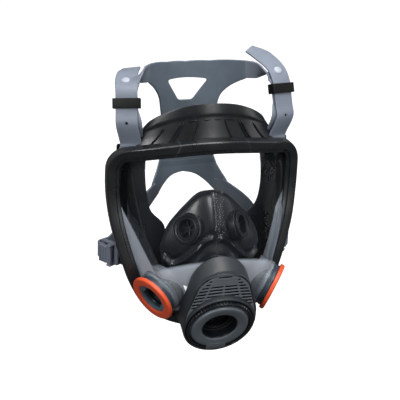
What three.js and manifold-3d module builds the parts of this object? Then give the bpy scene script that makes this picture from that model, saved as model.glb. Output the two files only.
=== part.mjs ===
// Full face respirator: wide bubble lens in a clamped ring, rubber facepiece, nose cup, front housing
// with speaking diaphragm and connector, two bayonet side ports, and a strapped head harness.
// Millimetres. X to the viewer's right, -Y is the front of the mask, +Z up. The origin is the middle
// of the face opening, on the wearer's cheek plane. Left and right are as seen from the front.

import * as THREE from 'three';
import { mergeVertices } from 'three/addons/utils/BufferGeometryUtils.js';
import Module from 'manifold-3d';

const wasm = await Module();
wasm.setup();

// ---- driving dimensions ----------------------------------------------------------------------
const GAP = 0.3;                    // clearance between touching pieces
const AROUND = 44;                  // sections around every loop of the mask
const ROUND = 18;                   // sides of a small turned piece
const RING = { width: 12, depth: 12, lip: 4, wall: 3.5 };
const LENS_THICK = 3;
const SEAT_BACK = 9.5;              // from a side port's ring face to its seat on the lens
const RUBBER_THICK = 2.6;
const STRAP = { width: 19.5, thick: 2 };
const NECK = { at: [0, -71, -46], tilt: 9, r: 20.5 };   // the housing's neck through the lens
const PORT_TILT = 22.9;             // degrees the front port looks down
const PORT_AT = [0, -81.6, -87.1];  // middle of the front port's face
const SIDE_AT = [59.2, -58.45, -64.75];   // middle of a side port's ring face, right side
const SIDE_AXIS = [0.8035, -0.46, -0.378];
const NOSE_VALVE_AT = [26.3, -52.5, 0];
const NOSE_VALVE_AXIS = [0.75, -0.545, 0.375];
const GRILLE_TILT = 12;             // degrees the grille looks down
const CHAMBER = { x: 11.2, z: -42.7, seat: 76 };      // behind the grille: diaphragm and exhalation valve
const GRILLE_AT = [0, -89.5, -43.7];
const COLOURS = {
  rubber: 0x1e242a, ring: 0x22262a, lens: 0xdfe6ea, orange: 0xee6a45, housing: 0x3c4146,
  disc: 0x5a6269, strap: 0x8f96a2, plate: 0x66717b, keeper: 0x16181a, buckle: 0x828796,
  silicone: 0x8a8f92, steel: 0xb0b4b8,
};

// Stations around the mask from top centre to bottom centre, right half: [x, y, z].
const RING_EDGE = [
  [0, -50, 80], [30, -46, 77], [60, -35, 71.5], [81, -23, 65], [90, -18, 53], [91.5, -17, 36],
  [90.6, -18.4, 14], [86.9, -23.2, -11.6], [77.5, -29, -46], [70.5, -31, -66], [58.5, -35, -85],
  [36, -40, -100], [0, -43, -107],
];
const RIM = [
  [0, -30, 106.5], [28, -26, 102.5], [52, -16, 89], [58, -8, 77], [69, -1, 62], [76, 5, 42],
  [80, 8, 14], [77, 8, -12], [70, 7, -44], [62, 5, -64], [50, 1, -84], [31, -6, -101],
  [0, -10, -109],
];
const LIP = [
  [0, -19, 88], [24, -16, 85], [43, -11, 77], [50, -8, 68], [54, -9, 56], [55.5, -12, 41],
  [54.4, -15.6, 20.7], [50.5, -16, 5], [37, -15, -12], [37, -9, -45], [33, -8, -66], [20, -10, -82],
  [0, -12, -88],
];
// Stations around the nose cup, right half: edge on the face, widest belly, front shoulder.
const CUP_EDGE = [
  [0, -38, 30], [11, -36, 28], [23, -32, 15], [31, -28, 2], [32, -25, -16], [30, -20, -40],
  [25, -14, -60], [13, -12, -71], [0, -12, -73],
];
const CUP_BELLY = [
  [0, -44, 28], [14, -43, 24.5], [29, -40, 11], [41, -39, -4], [47, -40, -20], [45, -40, -40],
  [34, -38, -57], [17, -37, -67], [0, -37, -70],
];
const CUP_SHOULDER = [
  [0, -56, 5], [9, -56, 3], [18, -55.5, -4], [26, -53, -13], [31, -52, -26], [31, -50, -42],
  [26, -48, -55], [14, -46, -62], [0, -46, -64],
];
const CUP_THICK = 2.2;

// ---- small tools -----------------------------------------------------------------------------
const V = (x, y, z) => new THREE.Vector3(x, y, z);
const BACK = V(0, 1, 0);

function closedGeometry(points, triangles) {
  const g = new THREE.BufferGeometry();
  g.setAttribute('position', new THREE.Float32BufferAttribute(points.flatMap((p) => p.toArray()), 3));
  g.setIndex(signedVolume(points, triangles) < 0 ? triangles.map(([a, b, c]) => [a, c, b]).flat()
    : triangles.flat());
  return g;
}

function signedVolume(points, triangles) {
  const cross = V(0, 0, 0);
  return triangles.reduce((sum, [a, b, c]) => (
    sum + points[a].dot(cross.crossVectors(points[b], points[c]))), 0);
}

function toSolid(geometry) {
  const bare = geometry.clone();
  bare.deleteAttribute('normal');
  bare.deleteAttribute('uv');
  const g = mergeVertices(bare, 1e-4);
  return new wasm.Manifold(new wasm.Mesh({
    numProp: 3,
    vertProperties: new Float32Array(g.attributes.position.array),
    triVerts: new Uint32Array(g.index.array),
  }));
}

function fromSolid(solid) {
  const mesh = solid.getMesh();
  const g = new THREE.BufferGeometry();
  g.setAttribute('position', new THREE.Float32BufferAttribute(mesh.vertProperties, 3));
  g.setIndex([...mesh.triVerts]);
  return g;
}

// The pose of a piece whose own +Z looks along axis and whose own +Y leans to up.
function frameAt(at, axis, up = [0, 0, 1]) {
  const z = V(...axis).normalize();
  const x = V(...up).cross(z).normalize();
  const y = z.clone().cross(x);
  return new THREE.Matrix4().makeBasis(x, y, z).setPosition(V(...at));
}

// The direction that looks forward and down by so many degrees.
function tilted(degrees) {
  const angle = THREE.MathUtils.degToRad(degrees);
  return [0, -Math.cos(angle), -Math.sin(angle)];
}

const placed = (geometry, matrix) => toSolid(geometry.clone().applyMatrix4(matrix));

function lathe(profile, segments = ROUND) {
  const points = [...profile, profile[0]].map(([r, z]) => new THREE.Vector2(r, z));
  const g = new THREE.LatheGeometry(points, segments);
  return g.rotateX(Math.PI / 2);          // the lathe's axis becomes +Z
}

// A tube, disc or ring around +Z, from radius inner to outer and from height low to high.
function turned(inner, outer, low, high, segments = ROUND) {
  if (inner > 0) return lathe([[inner, low], [outer, low], [outer, high], [inner, high]], segments);
  return new THREE.CylinderGeometry(outer, outer, high - low, segments)
    .rotateX(Math.PI / 2).translate(0, 0, (low + high) / 2);
}

function box(x0, x1, y0, y1, z0, z1) {
  return new THREE.BoxGeometry(x1 - x0, y1 - y0, z1 - z0)
    .translate((x0 + x1) / 2, (y0 + y1) / 2, (z0 + z1) / 2);
}

// Points of a closed, mirrored loop through the stations of its right half.
function loop(stations, count = AROUND) {
  const left = stations.slice(1, -1).reverse().map(([x, y, z]) => [-x, y, z]);
  const curve = new THREE.CatmullRomCurve3([...stations, ...left].map((p) => V(...p)), true);
  return Array.from({ length: count }, (_, i) => curve.getPoint(i / count));
}

// Joins sections that go round in a circle; each section is a closed polygon.
function closedLoft(sections) {
  const n = sections.length;
  const m = sections[0].length;
  const at = (i, j) => (i % n) * m + (j % m);
  const triangles = [];
  for (let i = 0; i < n; i += 1) {
    for (let j = 0; j < m; j += 1) {
      triangles.push([at(i, j), at(i + 1, j), at(i + 1, j + 1)]);
      triangles.push([at(i, j), at(i + 1, j + 1), at(i, j + 1)]);
    }
  }
  return closedGeometry(sections.flat(), triangles);
}

// Joins loops like the rings of a barrel, and closes each end with a fan.
function barrel(rows) {
  const m = rows[0].length;
  const middle = (row) => row.reduce((s, p) => s.add(p), V(0, 0, 0)).divideScalar(m);
  const points = [...rows.flat(), middle(rows[0]), middle(rows.at(-1))];
  const at = (i, j) => i * m + (j % m);
  const triangles = [];
  for (let j = 0; j < m; j += 1) {
    for (let i = 0; i + 1 < rows.length; i += 1) {
      triangles.push([at(i, j), at(i, j + 1), at(i + 1, j + 1)]);
      triangles.push([at(i, j), at(i + 1, j + 1), at(i + 1, j)]);
    }
    triangles.push([points.length - 2, at(0, j + 1), at(0, j)]);
    triangles.push([points.length - 1, at(rows.length - 1, j), at(rows.length - 1, j + 1)]);
  }
  return closedGeometry(points, triangles);
}

// A flat strap along a curve. Each knot is { at, across, width }, and the ends are rounded a little.
function ribbon(knots, steps, thick = STRAP.thick) {
  const path = new THREE.CatmullRomCurve3(knots.map((k) => V(...k.at)), false, 'centripetal');
  const across = new THREE.CatmullRomCurve3(knots.map((k) => V(...k.across)), false);
  const widths = new THREE.CatmullRomCurve3(knots.map((k) => V(k.width ?? STRAP.width, 0, 0)), false);
  const rows = Array.from({ length: steps + 1 }, (_, i) => {
    const t = i / steps;
    const tangent = path.getTangent(t);
    const side = across.getPoint(t).addScaledVector(tangent, -across.getPoint(t).dot(tangent));
    side.setLength(widths.getPoint(t).x / 2);
    const normal = side.clone().cross(tangent).setLength(thick / 2);
    const p = path.getPoint(t);
    return [[1, 1], [1, -1], [-1, -1], [-1, 1]].map(([s, n]) => (
      p.clone().addScaledVector(side, s).addScaledVector(normal, n)));
  });
  return barrel(rows);
}

// Splits every edge that is longer than limit, so that a flat sheet can be bent.
function splitLongEdges(geometry, limit) {
  const g = mergeVertices(geometry, 1e-4);
  const points = Array.from({ length: g.attributes.position.count }, (_, i) => (
    V(0, 0, 0).fromBufferAttribute(g.attributes.position, i)));
  let triangles = [];
  for (let i = 0; i < g.index.count; i += 3) triangles.push([...g.index.array.slice(i, i + 3)]);
  for (let again = true; again;) {
    const middles = new Map();
    const middle = (a, b) => {
      const key = `${Math.min(a, b)},${Math.max(a, b)}`;
      if (!middles.has(key)) {
        middles.set(key, points.length);
        points.push(points[a].clone().lerp(points[b], 0.5));
      }
      return middles.get(key);
    };
    const longest = (t) => {
      const lengths = [0, 1, 2].map((k) => points[t[k]].distanceTo(points[t[(k + 1) % 3]]));
      const k = lengths.indexOf(Math.max(...lengths));
      return { k, length: lengths[k] };
    };
    const marked = new Set();
    for (const t of triangles) {
      const { k, length } = longest(t);
      if (length > limit) marked.add([t[k], t[(k + 1) % 3]].sort((a, b) => a - b).join());
    }
    again = marked.size > 0;
    triangles = triangles.flatMap((t) => splitTriangle(t, marked, middle));
  }
  return { points, triangles };
}

function splitTriangle(t, marked, middle) {
  const cut = [0, 1, 2].map((k) => marked.has([t[k], t[(k + 1) % 3]].sort((a, b) => a - b).join()));
  const count = cut.filter(Boolean).length;
  if (count === 0) return [t];
  const first = count === 1 ? cut.indexOf(true) : (cut.indexOf(false) + 1) % 3;
  const [a, b, c] = [t[first], t[(first + 1) % 3], t[(first + 2) % 3]];
  const ab = middle(a, b);
  if (count === 1) return [[a, ab, c], [ab, b, c]];
  const bc = middle(b, c);
  if (count === 2) return [[a, ab, c], [ab, bc, c], [ab, b, bc]];
  const ca = middle(c, a);
  return [[a, ab, ca], [ab, b, bc], [bc, c, ca], [ab, bc, ca]];
}

const group = new THREE.Group();
group.name = 'full_face_respirator';

function addMesh(name, geometry, colour, roughness = 0.6, metalness = 0) {
  const g = geometry.clone();
  g.deleteAttribute('uv');
  g.deleteAttribute('normal');
  const material = new THREE.MeshStandardMaterial({ color: COLOURS[colour], roughness, metalness });
  const mesh = new THREE.Mesh(mergeVertices(g, 1e-4), material);
  mesh.geometry.computeVertexNormals();
  mesh.name = name;
  group.add(mesh);
}

// The same piece on the other side of the mask.
function mirroredGeometry(geometry) {
  const position = geometry.attributes.position;
  const points = Array.from({ length: position.count }, (_, i) => (
    V(-position.getX(i), position.getY(i), position.getZ(i))));
  const triangles = [];
  for (let i = 0; i < geometry.index.count; i += 3) {
    triangles.push([...geometry.index.array.slice(i, i + 3)]);
  }
  return closedGeometry(points, triangles);
}
const mirroredSolid = (solid) => toSolid(mirroredGeometry(fromSolid(solid)));

// Adds a right-hand piece and its mirrored left-hand copy.
function addPair(name, geometry, colour, roughness) {
  addMesh(`${name}_left`, mirroredGeometry(geometry), colour, roughness);
  addMesh(`${name}_right`, geometry, colour, roughness);
}

// What is left of a cut piece, without the slivers that a cut leaves.
const biggest = (solid) => solid.decompose().sort((a, b) => b.volume() - a.volume())[0];

// ---- loops that the mask is built on -----------------------------------------------------------
const ringEdge = loop(RING_EDGE);
const ringInward = ringEdge.map((_, i) => {
  const tangent = ringEdge[(i + 1) % AROUND].clone().sub(ringEdge[(i + AROUND - 1) % AROUND]);
  const inward = tangent.cross(BACK).normalize();
  const middle = V(0, 0, -10).sub(ringEdge[i]);
  return inward.dot(middle) < 0 ? inward.negate() : inward;
});
// A point of the ring's section: a inward from the outer edge, b back from the front.
const onRing = (i, a, b) => ringEdge[i].clone().addScaledVector(ringInward[i], a).add(V(0, b, 0));

// ---- lens ring: a front lip and an outer wall, split into the main ring and a bridge at the top ---
function buildRing() {
  const { width, depth, lip, wall } = RING;
  const section = [[2, 0], [width - 2.5, 0], [width, 2.5], [width, lip], [wall, lip],
    [wall, depth], [0, depth], [0, 2]];
  const whole = toSolid(closedLoft(ringEdge.map((_, i) => section.map(([a, b]) => onRing(i, a, b)))));
  const wedge = (grow) => {
    const outline = [[-26 - grow, 90], [26 + grow, 90], [37 + grow, 60], [-37 - grow, 60]];
    const shape = new THREE.Shape(outline.map(([x, z]) => new THREE.Vector2(x, z)));
    return toSolid(new THREE.ExtrudeGeometry(shape, { depth: 60, bevelEnabled: false })
      .rotateX(Math.PI / 2));
  };
  addMesh('lens_ring', fromSolid(whole.subtract(wedge(GAP / 2))), 'ring', 0.45);
  addMesh('lens_ring_bridge', fromSolid(whole.intersect(wedge(-GAP / 2))), 'ring', 0.45);
}
buildRing();

// ---- lens -----------------------------------------------------------------------------------
const smallest = (...depths) => {
  const soft = 2;                       // millimetres over which two faces of the lens blend
  return -soft * Math.log(depths.reduce((s, d) => s + Math.exp(-d / soft), 0));
};

// How far in front of the cheek plane the lens stands at (x, z): a curved front, a slanted face at
// each side, a chin face below a curved crease, a steep bottom, and a seat square to each side port.
function lensDepth(x, z) {
  const wide = Math.abs(x);
  const front = 48 + 0.26 * (80 - z) - 0.0045 * x * x;
  const side = 132.85 - 1.268 * wide - 0.025 * z;
  const crease = -25 - 0.0032 * x * x;
  const chin = 75.3 - 0.0037 * x * x - 0.16 * (crease - z);
  const bottom = 46 + 0.95 * (z + 100) - 0.002 * x * x;
  const [ax, ay, az] = SIDE_AXIS;
  const [px, py, pz] = SIDE_AT.map((v, k) => v - SIDE_AXIS[k] * SEAT_BACK);
  const seat = -py + (ax * (px - wide) + az * (pz - z)) / -ay;
  return smallest(front, side, chin, bottom, seat);
}

// Rows of loops from the clamped flange to the middle of the lens, grown outwards by grow.
function lensRows(grow, flangeBack, flangeEdge) {
  const front = RING.lip + GAP - grow;
  const rows = [[RING.width, flangeBack], [flangeEdge, flangeBack], [flangeEdge, front],
    [RING.width + 1.2 - grow, front]].map(([a, b]) => ringEdge.map((_, i) => onRing(i, a, b)));
  const foot = ringEdge.map((_, i) => onRing(i, RING.width + 1.6 - grow, 0));
  for (const t of [0.07, 0.16, 0.29, 0.46, 0.7]) {
    rows.push(foot.map((p) => {
      const x = p.x * (1 - t);
      const z = p.z + (-20 - p.z) * t;
      const steep = -p.y + 4 + 2.6 * t * Math.hypot(p.x, p.z + 20);
      return V(x, -smallest(lensDepth(x, z), steep) - grow, z);
    }));
  }
  return rows;
}
const lensOutside = (grow) => toSolid(barrel(lensRows(grow, RING.lip + GAP + LENS_THICK,
  RING.wall + GAP)));
const lensInside = (inset) => toSolid(barrel(lensRows(-LENS_THICK - inset, 30, RING.width - 1)));
const neckFrame = frameAt(NECK.at, tilted(NECK.tilt));
const sidePort = frameAt(SIDE_AT, SIDE_AXIS);

// The ring's whole section down to a depth, grown by the gap.
function ringRoom(depth) {
  const section = [[-GAP, -GAP], [RING.width + GAP, -GAP], [RING.width + GAP, depth + GAP],
    [-GAP, depth + GAP]];
  return toSolid(closedLoft(ringEdge.map((_, i) => section.map(([a, b]) => onRing(i, a, b)))));
}

function buildLens() {
  const boss = placed(turned(0, 21.5, -34, -SEAT_BACK, 24), sidePort);
  const bore = placed(turned(0, 18.7 + GAP, -70, 2, 24), sidePort);
  const whole = lensOutside(0).add(boss).add(mirroredSolid(boss)).subtract(lensInside(0))
    .subtract(bore).subtract(mirroredSolid(bore))
    .subtract(placed(turned(0, NECK.r + GAP, -60, 60, 24), neckFrame))
    .subtract(ringRoom(RING.lip));
  addMesh('lens', fromSolid(biggest(whole)), 'lens', 0.1);
}
buildLens();

// ---- rubber facepiece -------------------------------------------------------------------------
function facepieceShell() {
  const rim = loop(RIM);
  const lip = loop(LIP);
  const bead = RING.lip + GAP + LENS_THICK + GAP;
  const sections = ringEdge.map((_, i) => {
    const out = ringInward[i].clone().negate();
    const shoulder = onRing(i, RING.wall + GAP, RING.depth + 1);
    const inside = onRing(i, RING.width - 0.5, RING.depth + 1);
    const lipFront = lip[i].clone().add(V(0, -1.6, 0));
    const toInside = inside.clone().sub(rim[i]).normalize();
    const fold = lipFront.clone().sub(rim[i]).normalize().add(toInside).normalize();
    const half = Math.acos(Math.min(0.99, Math.max(-0.99, fold.dot(toInside))));
    const pocket = rim[i].clone().addScaledVector(fold, Math.min(7, RUBBER_THICK / Math.sin(half)));
    const rimFoot = rim[i].clone().lerp(shoulder, 0.3);
    return [
      onRing(i, RING.wall + GAP, bead), shoulder, rimFoot,
      rimFoot.clone().addScaledVector(out, 1.6), rim[i].clone().addScaledVector(out, 1.8),
      rim[i].clone().add(V(0, 1.5, 0)), lip[i].clone().add(V(0, 0.4, 0)), lipFront,
      pocket, inside, onRing(i, RING.width - 0.5, bead),
    ];
  });
  return toSolid(closedLoft(sections));
}

// The moulded lugs hold the cheek buckle's front bar and the temple buckle's lower bar.
function buildFacepiece() {
  const cheekLug = placed(box(-18, -11.6, -8, 8, -1.6, 1.6), cheekFrame);
  const templeLug = placed(box(-11, 11, -9, -3.1, -3.6, 3.6), templeFrame)
    .subtract(placed(box(-13.6, 13.6, -7.3, -2.8, -1.6, 1.6), templeFrame));
  const templeRoom = placed(box(-13.6, 13.6, -7.3, 17, -4.4, 5.5), templeFrame);
  const bare = facepieceShell().subtract(templeRoom).subtract(mirroredSolid(templeRoom));
  const lugs = cheekLug.add(templeLug).subtract(ringRoom(RING.depth));
  addMesh('facepiece', fromSolid(biggest(bare.add(lugs).add(mirroredSolid(lugs)))), 'rubber', 0.5);
}

// ---- nose cup with its two inhalation valves ------------------------------------------------------
function buildNoseCup() {
  const count = 24;
  const edge = loop(CUP_EDGE, count);
  const belly = loop(CUP_BELLY, count);
  const shoulder = loop(CUP_SHOULDER, count);
  const collar = (r, height) => Array.from({ length: count }, (_, i) => {
    const angle = (i / count) * 2 * Math.PI;
    return V(r * Math.sin(angle), r * Math.cos(angle), height).applyMatrix4(neckFrame);
  });
  const inset = (row, by) => row.map((p) => {
    const inward = V(0, 0, -25).sub(V(p.x, 0, p.z)).setLength(by);
    return p.clone().add(inward).add(V(0, by * 0.8, 0));
  });
  const rows = [edge, belly, shoulder, collar(22.5, -12), collar(22.5, -8), collar(16.5, -8),
    collar(16.5, -12), inset(shoulder, CUP_THICK), inset(belly, CUP_THICK), inset(edge, CUP_THICK)];
  const sections = Array.from({ length: count }, (_, i) => rows.map((row) => row[i]));
  const at = frameAt(NOSE_VALVE_AT, NOSE_VALVE_AXIS);
  const boss = placed(turned(0, 14.5, -8.5, -1 - GAP), at);
  const room = placed(turned(0, 13 + GAP, -1 - GAP, 20), at)
    .add(placed(turned(0, 10 + GAP, -20, 0), at));
  const cup = toSolid(closedLoft(sections)).add(boss).add(mirroredSolid(boss))
    .subtract(room).subtract(mirroredSolid(room));
  addMesh('nose_cup', fromSolid(biggest(cup)), 'rubber', 0.5);

  const seat = placed(lathe([[8.6, -5.6], [10, -5.6], [10, -1], [13, -1], [13, 0.6], [8.6, 0.6]]), at)
    .add(spider(at, 8.9, 2.6, -5, -3));
  addPair('nose_cup_valve_seat', fromSolid(seat), 'housing', 0.6);
  addPair('nose_cup_valve_disc', fromSolid(placed(turned(0, 9.4, -7, -5.6 - GAP), at)), 'silicone');
}

// Three crossing spokes and a hub that hold a valve disc.
function spider(frame, reach, hub, low, high) {
  let solid = placed(turned(0, hub, low, high, 12), frame);
  for (const turn of [0, 60, 120]) {
    const spoke = box(-reach, reach, -0.8, 0.8, low, high).rotateZ(THREE.MathUtils.degToRad(turn));
    solid = solid.add(placed(spoke, frame));
  }
  return solid;
}

// ---- side ports: socket, clamp collar, bayonet ring, gasket and inhalation valve disc ---------------
function buildSidePorts() {
  let body = placed(lathe([
    [12.5, -19.5], [18.7, -19.5], [18.7, GAP - SEAT_BACK], [20.5, GAP - SEAT_BACK], [20.5, -4.3],
    [14.6, -4.3], [14.6, -1.5], [12.5, -1.5],
  ]), sidePort);
  for (const turn of [35, 215]) {
    const sector = box(0, 14, -3.2, 3.2, -6, 0).rotateZ(THREE.MathUtils.degToRad(turn));
    body = body.add(placed(turned(10, 12.8, -4.6, -2), sidePort).intersect(placed(sector, sidePort)));
  }
  addPair('side_port_body', fromSolid(body.add(spider(sidePort, 13, 2.4, -14, -12.5))), 'housing');
  addPair('bayonet_ring', fromSolid(placed(lathe([
    [14.6 + GAP, -4], [22.6, -4], [23, -3.4], [23, -0.8], [22.2, 0], [14.6 + GAP, 0],
  ], 32), sidePort)), 'orange', 0.45);
  addPair('side_port_gasket', fromSolid(placed(turned(9.6, 12.2, -8, -5.2), sidePort)), 'rubber');
  addPair('side_valve_disc', fromSolid(placed(turned(0, 11.6, -15.5, -14 - GAP), sidePort)),
    'silicone');
  const collar = placed(turned(18.7 + GAP, 21.5, -24.5, -7.5), sidePort).intersect(lensInside(GAP));
  addPair('side_port_clamp', fromSolid(biggest(collar)), 'housing', 0.6);
}

// ---- front housing --------------------------------------------------------------------------------
const port = frameAt(PORT_AT, tilted(PORT_TILT));
const grille = frameAt(GRILLE_AT, tilted(GRILLE_TILT));
const FAR = 100;                      // past every face of the housing
const DRAFT = { from: 75.5, edge: 86.5, scale: 0.824, last: 0.804, foot: -72 };

function housingOutline(inset) {
  const shape = new THREE.Shape();
  shape.absarc(0, -46.6, 27.2 - inset, 0.15, Math.PI - 0.15, false);
  shape.lineTo(-34.5 + inset, -72);
  shape.lineTo(-34.5 + inset, -88 + inset);
  shape.lineTo(34.5 - inset, -88 + inset);
  shape.lineTo(34.5 - inset, -72);
  return shape;
}

// The outline pushed forward from a depth in front of the cheek plane. Towards the face, what is above
// the foot gets lower, so the top slopes down.
function outlineSlab(inset, near) {
  const { from, edge, scale, last, foot } = DRAFT;
  const outline = housingOutline(inset).extractPoints(14).shape;
  return toSolid(barrel([[near, 1], [from, 1], [edge, scale], [FAR, last]].map(([depth, share]) => (
    outline.map(({ x, y: z }) => V(x, -depth, z > foot ? foot + (z - foot) * share : z))))));
}

// A disc, ring or bore that looks forward from a chamber's middle, between two depths.
const inChamber = (side, inner, outer, near, far) => placed(turned(inner, outer, near, far, 20),
  new THREE.Matrix4().makeRotationX(Math.PI / 2).setPosition(side * CHAMBER.x, 0, CHAMBER.z));

function buildHousing() {
  let body = outlineSlab(0, 46.5)
    .intersect(placed(box(-FAR, FAR, -FAR, FAR, -FAR, -3 - GAP), grille))
    .add(placed(turned(0, 34, -32, -3, 36), port))
    .subtract(toSolid(box(-FAR, FAR, -46.5, FAR, -2 * FAR, FAR)))
    .subtract(lensOutside(GAP))
    .add(placed(turned(0, NECK.r, -7.5, 6, 24), neckFrame))
    .subtract(placed(turned(0, 21.5 + GAP, -34, -SEAT_BACK, 24), sidePort))
    .subtract(mirroredSolid(placed(turned(0, 21.5 + GAP, -34, -SEAT_BACK, 24), sidePort)));
  for (const side of [-1, 1]) {
    body = body.subtract(inChamber(side, 0, 7.2, 40, FAR))
      .subtract(inChamber(side, 0, 9.8 + GAP, CHAMBER.seat, FAR));
  }
  body = body.subtract(placed(turned(0, 31.8, -9, 3, 36), port))
    .subtract(placed(turned(0, 15.9, -60, 0), port))
    .subtract(toSolid(box(-9, 9, -77, -40, -71, -54)));     // the air's way up into the neck
  addMesh('front_housing', fromSolid(biggest(body)), 'housing', 0.55);
  addMesh('grille_cover', fromSolid(biggest(grilleCover())), 'housing', 0.6);
  addMesh('speaking_diaphragm',
    fromSolid(inChamber(-1, 0, 9.8, CHAMBER.seat + GAP, CHAMBER.seat + 1)), 'silicone', 0.3);
  addMesh('diaphragm_ring',
    fromSolid(inChamber(-1, 7.6, 9.8, CHAMBER.seat + 1 + GAP, CHAMBER.seat + 4)), 'housing');
  addMesh('exhalation_valve_disc',
    fromSolid(inChamber(1, 0, 9.4, CHAMBER.seat + GAP, CHAMBER.seat + 1.4)), 'silicone');
}

function grilleCover() {
  let cover = outlineSlab(1.2, 60).intersect(placed(box(-FAR, FAR, -26, FAR, -3, 0), grille))
    .subtract(placed(turned(0, 34 + GAP, -40, 40, 36), port));
  const [pitch, slot, rib] = [3.45, 1.6, 1.6];
  for (let row = 0; row < 9; row += 1) {
    const y = 7.9 - row * pitch;
    const split = 13.4 - 0.294 * y;                  // middle of the rib between the columns
    const half = 29.2 * Math.sqrt(1 - ((y + 24) / 35.5) ** 2);
    const outer = [split + rib / 2, half];
    const columns = row < 2 ? [outer] : [[rib / 2, split - rib / 2], outer];
    for (const [x0, x1] of columns) {
      const cut = placed(box(x0, x1, y - slot / 2, y + slot / 2, -5, 2), grille);
      cover = cover.subtract(cut).subtract(mirroredSolid(cut));
    }
  }
  return cover.subtract(placed(box(-6.5, 6.5, 10.6, 12.6, -5, 2), grille));
}

// The front port: knurled turning ring, connector insert with its tab, gasket, valve seat and disc.
function buildFrontPort() {
  const teeth = 40;
  const knurl = new THREE.Shape(Array.from({ length: teeth * 2 }, (_, i) => {
    const angle = (i / teeth) * Math.PI;
    return new THREE.Vector2(Math.cos(angle), Math.sin(angle)).multiplyScalar(i % 2 ? 31.3 : 30.4);
  }));
  knurl.holes.push(new THREE.Path().absarc(0, 0, 28.4 + GAP, 0, 2 * Math.PI, true));
  const ring = new THREE.ExtrudeGeometry(knurl, { depth: 8.8, bevelEnabled: false, curveSegments: 18 });
  addMesh('front_port_ring', fromSolid(placed(ring.translate(0, 0, -8.6), port)), 'housing', 0.6);

  const insert = placed(lathe([
    [15.9, -8.6], [28.4, -8.6], [28.4, 0.4], [26.5, 2], [20.5, 2], [19.2, 0.6], [17.4, 0.6], [15.9, 2],
  ], 36), port).add(placed(box(-10, 10, -33, -24, 0.8 + GAP, 1.8), port));
  addMesh('front_port_insert', fromSolid(insert), 'disc', 0.5);
  addMesh('front_port_gasket', fromSolid(placed(turned(12, 15.6, -11.5, -9.3), port)), 'rubber', 0.7);
  const seat = placed(turned(12.6, 15.6, -14.5, -11.8), port)
    .add(spider(port, 14, 2.5, -14.2, -12.8));
  addMesh('front_valve_seat', fromSolid(seat), 'housing', 0.6);
  addMesh('front_valve_disc', fromSolid(placed(turned(0, 14.4, -16, -14.5 - GAP), port)), 'silicone');
}

// ---- head harness ---------------------------------------------------------------------------------
// The plate lies on the back of the head, bent about the vertical.
const PLATE = { back: 58, bend: 0.0196 };
const plateBack = (x) => PLATE.back - PLATE.bend * x * x;

function buildPlate() {
  const arm = [[0, 124.5], [20, 126.5], [46, 134]];
  const flank = [[46, 117], [36, 106], [29.5, 95], [27, 83], [24, 60], [25, 42], [28, 27], [37, 10]];
  const arch = [[28, -3], [21, 4], [12, 10], [0, 12.5]];
  const curve = new THREE.SplineCurve(flank.map(([x, z]) => new THREE.Vector2(x, z)));
  const half = [...arm, ...curve.getPoints(14).map((p) => [p.x, p.y]), ...arch];
  const left = half.slice(1, -1).reverse().map(([x, z]) => [-x, z]);
  const shape = new THREE.Shape([...half, ...left].map(([x, z]) => new THREE.Vector2(x, z)));
  shape.holes.push(new THREE.Path([[-19.5, 108.5], [-6.5, 86.5], [6.5, 86.5], [19.5, 108.5]]
    .map(([x, z]) => new THREE.Vector2(x, z))));
  const flat = new THREE.ExtrudeGeometry(shape, { depth: STRAP.thick, bevelEnabled: false });
  flat.deleteAttribute('uv');
  flat.deleteAttribute('normal');
  const { points, triangles } = splitLongEdges(flat, 16);
  const bent = points.map(({ x, y: height, z: out }) => {
    const across = V(1, -2 * PLATE.bend * x, 0).normalize();
    return V(x - out * across.y, plateBack(x) + out * across.x, height);
  });
  addMesh('harness_plate', closedGeometry(bent, triangles), 'plate', 0.7);
}

// A temple strap: from the plate forward and down, round the bar of its buckle, up again through the
// keeper, and on to its free end.
const STRAP_OUT = [0.326, -0.945, 0];            // the way the strap faces at the temple, right side
const STRAP_ACROSS = [0.945, 0.326, 0];
const STRETCH = { low: [74.4, -18.3, 90], high: [72.8, -8, 118] };   // straight part, right side
const LAYER_STEP = 3;                            // from one strap layer's middle to the other's
const TAIL = {
  left: [
    { at: [59.5, 31, 127], across: [0.985, 0.1, -0.17], width: 17 },
    { at: [66, 17, 127], across: [0.97, 0.2, -0.12] },
    { at: [70.4, 5, 123.4], across: [0.95, 0.3, -0.05] },
  ],
  right: [
    { at: [51.5, 27, 142.5], across: [0.8, 0.55, 0.25], width: 12 },
    { at: [63, 15, 137], across: [0.85, 0.45, 0.15] },
    { at: [70.8, 2, 128.6], across: [0.9, 0.35, 0.05] },
  ],
};
const LEAN = [3.5, 0.4, 0, 0];                   // how far inwards the back layer leans, from its foot up
const templeFrame = frameAt([68.5, -11, 63.2], STRAP_OUT);

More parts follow.
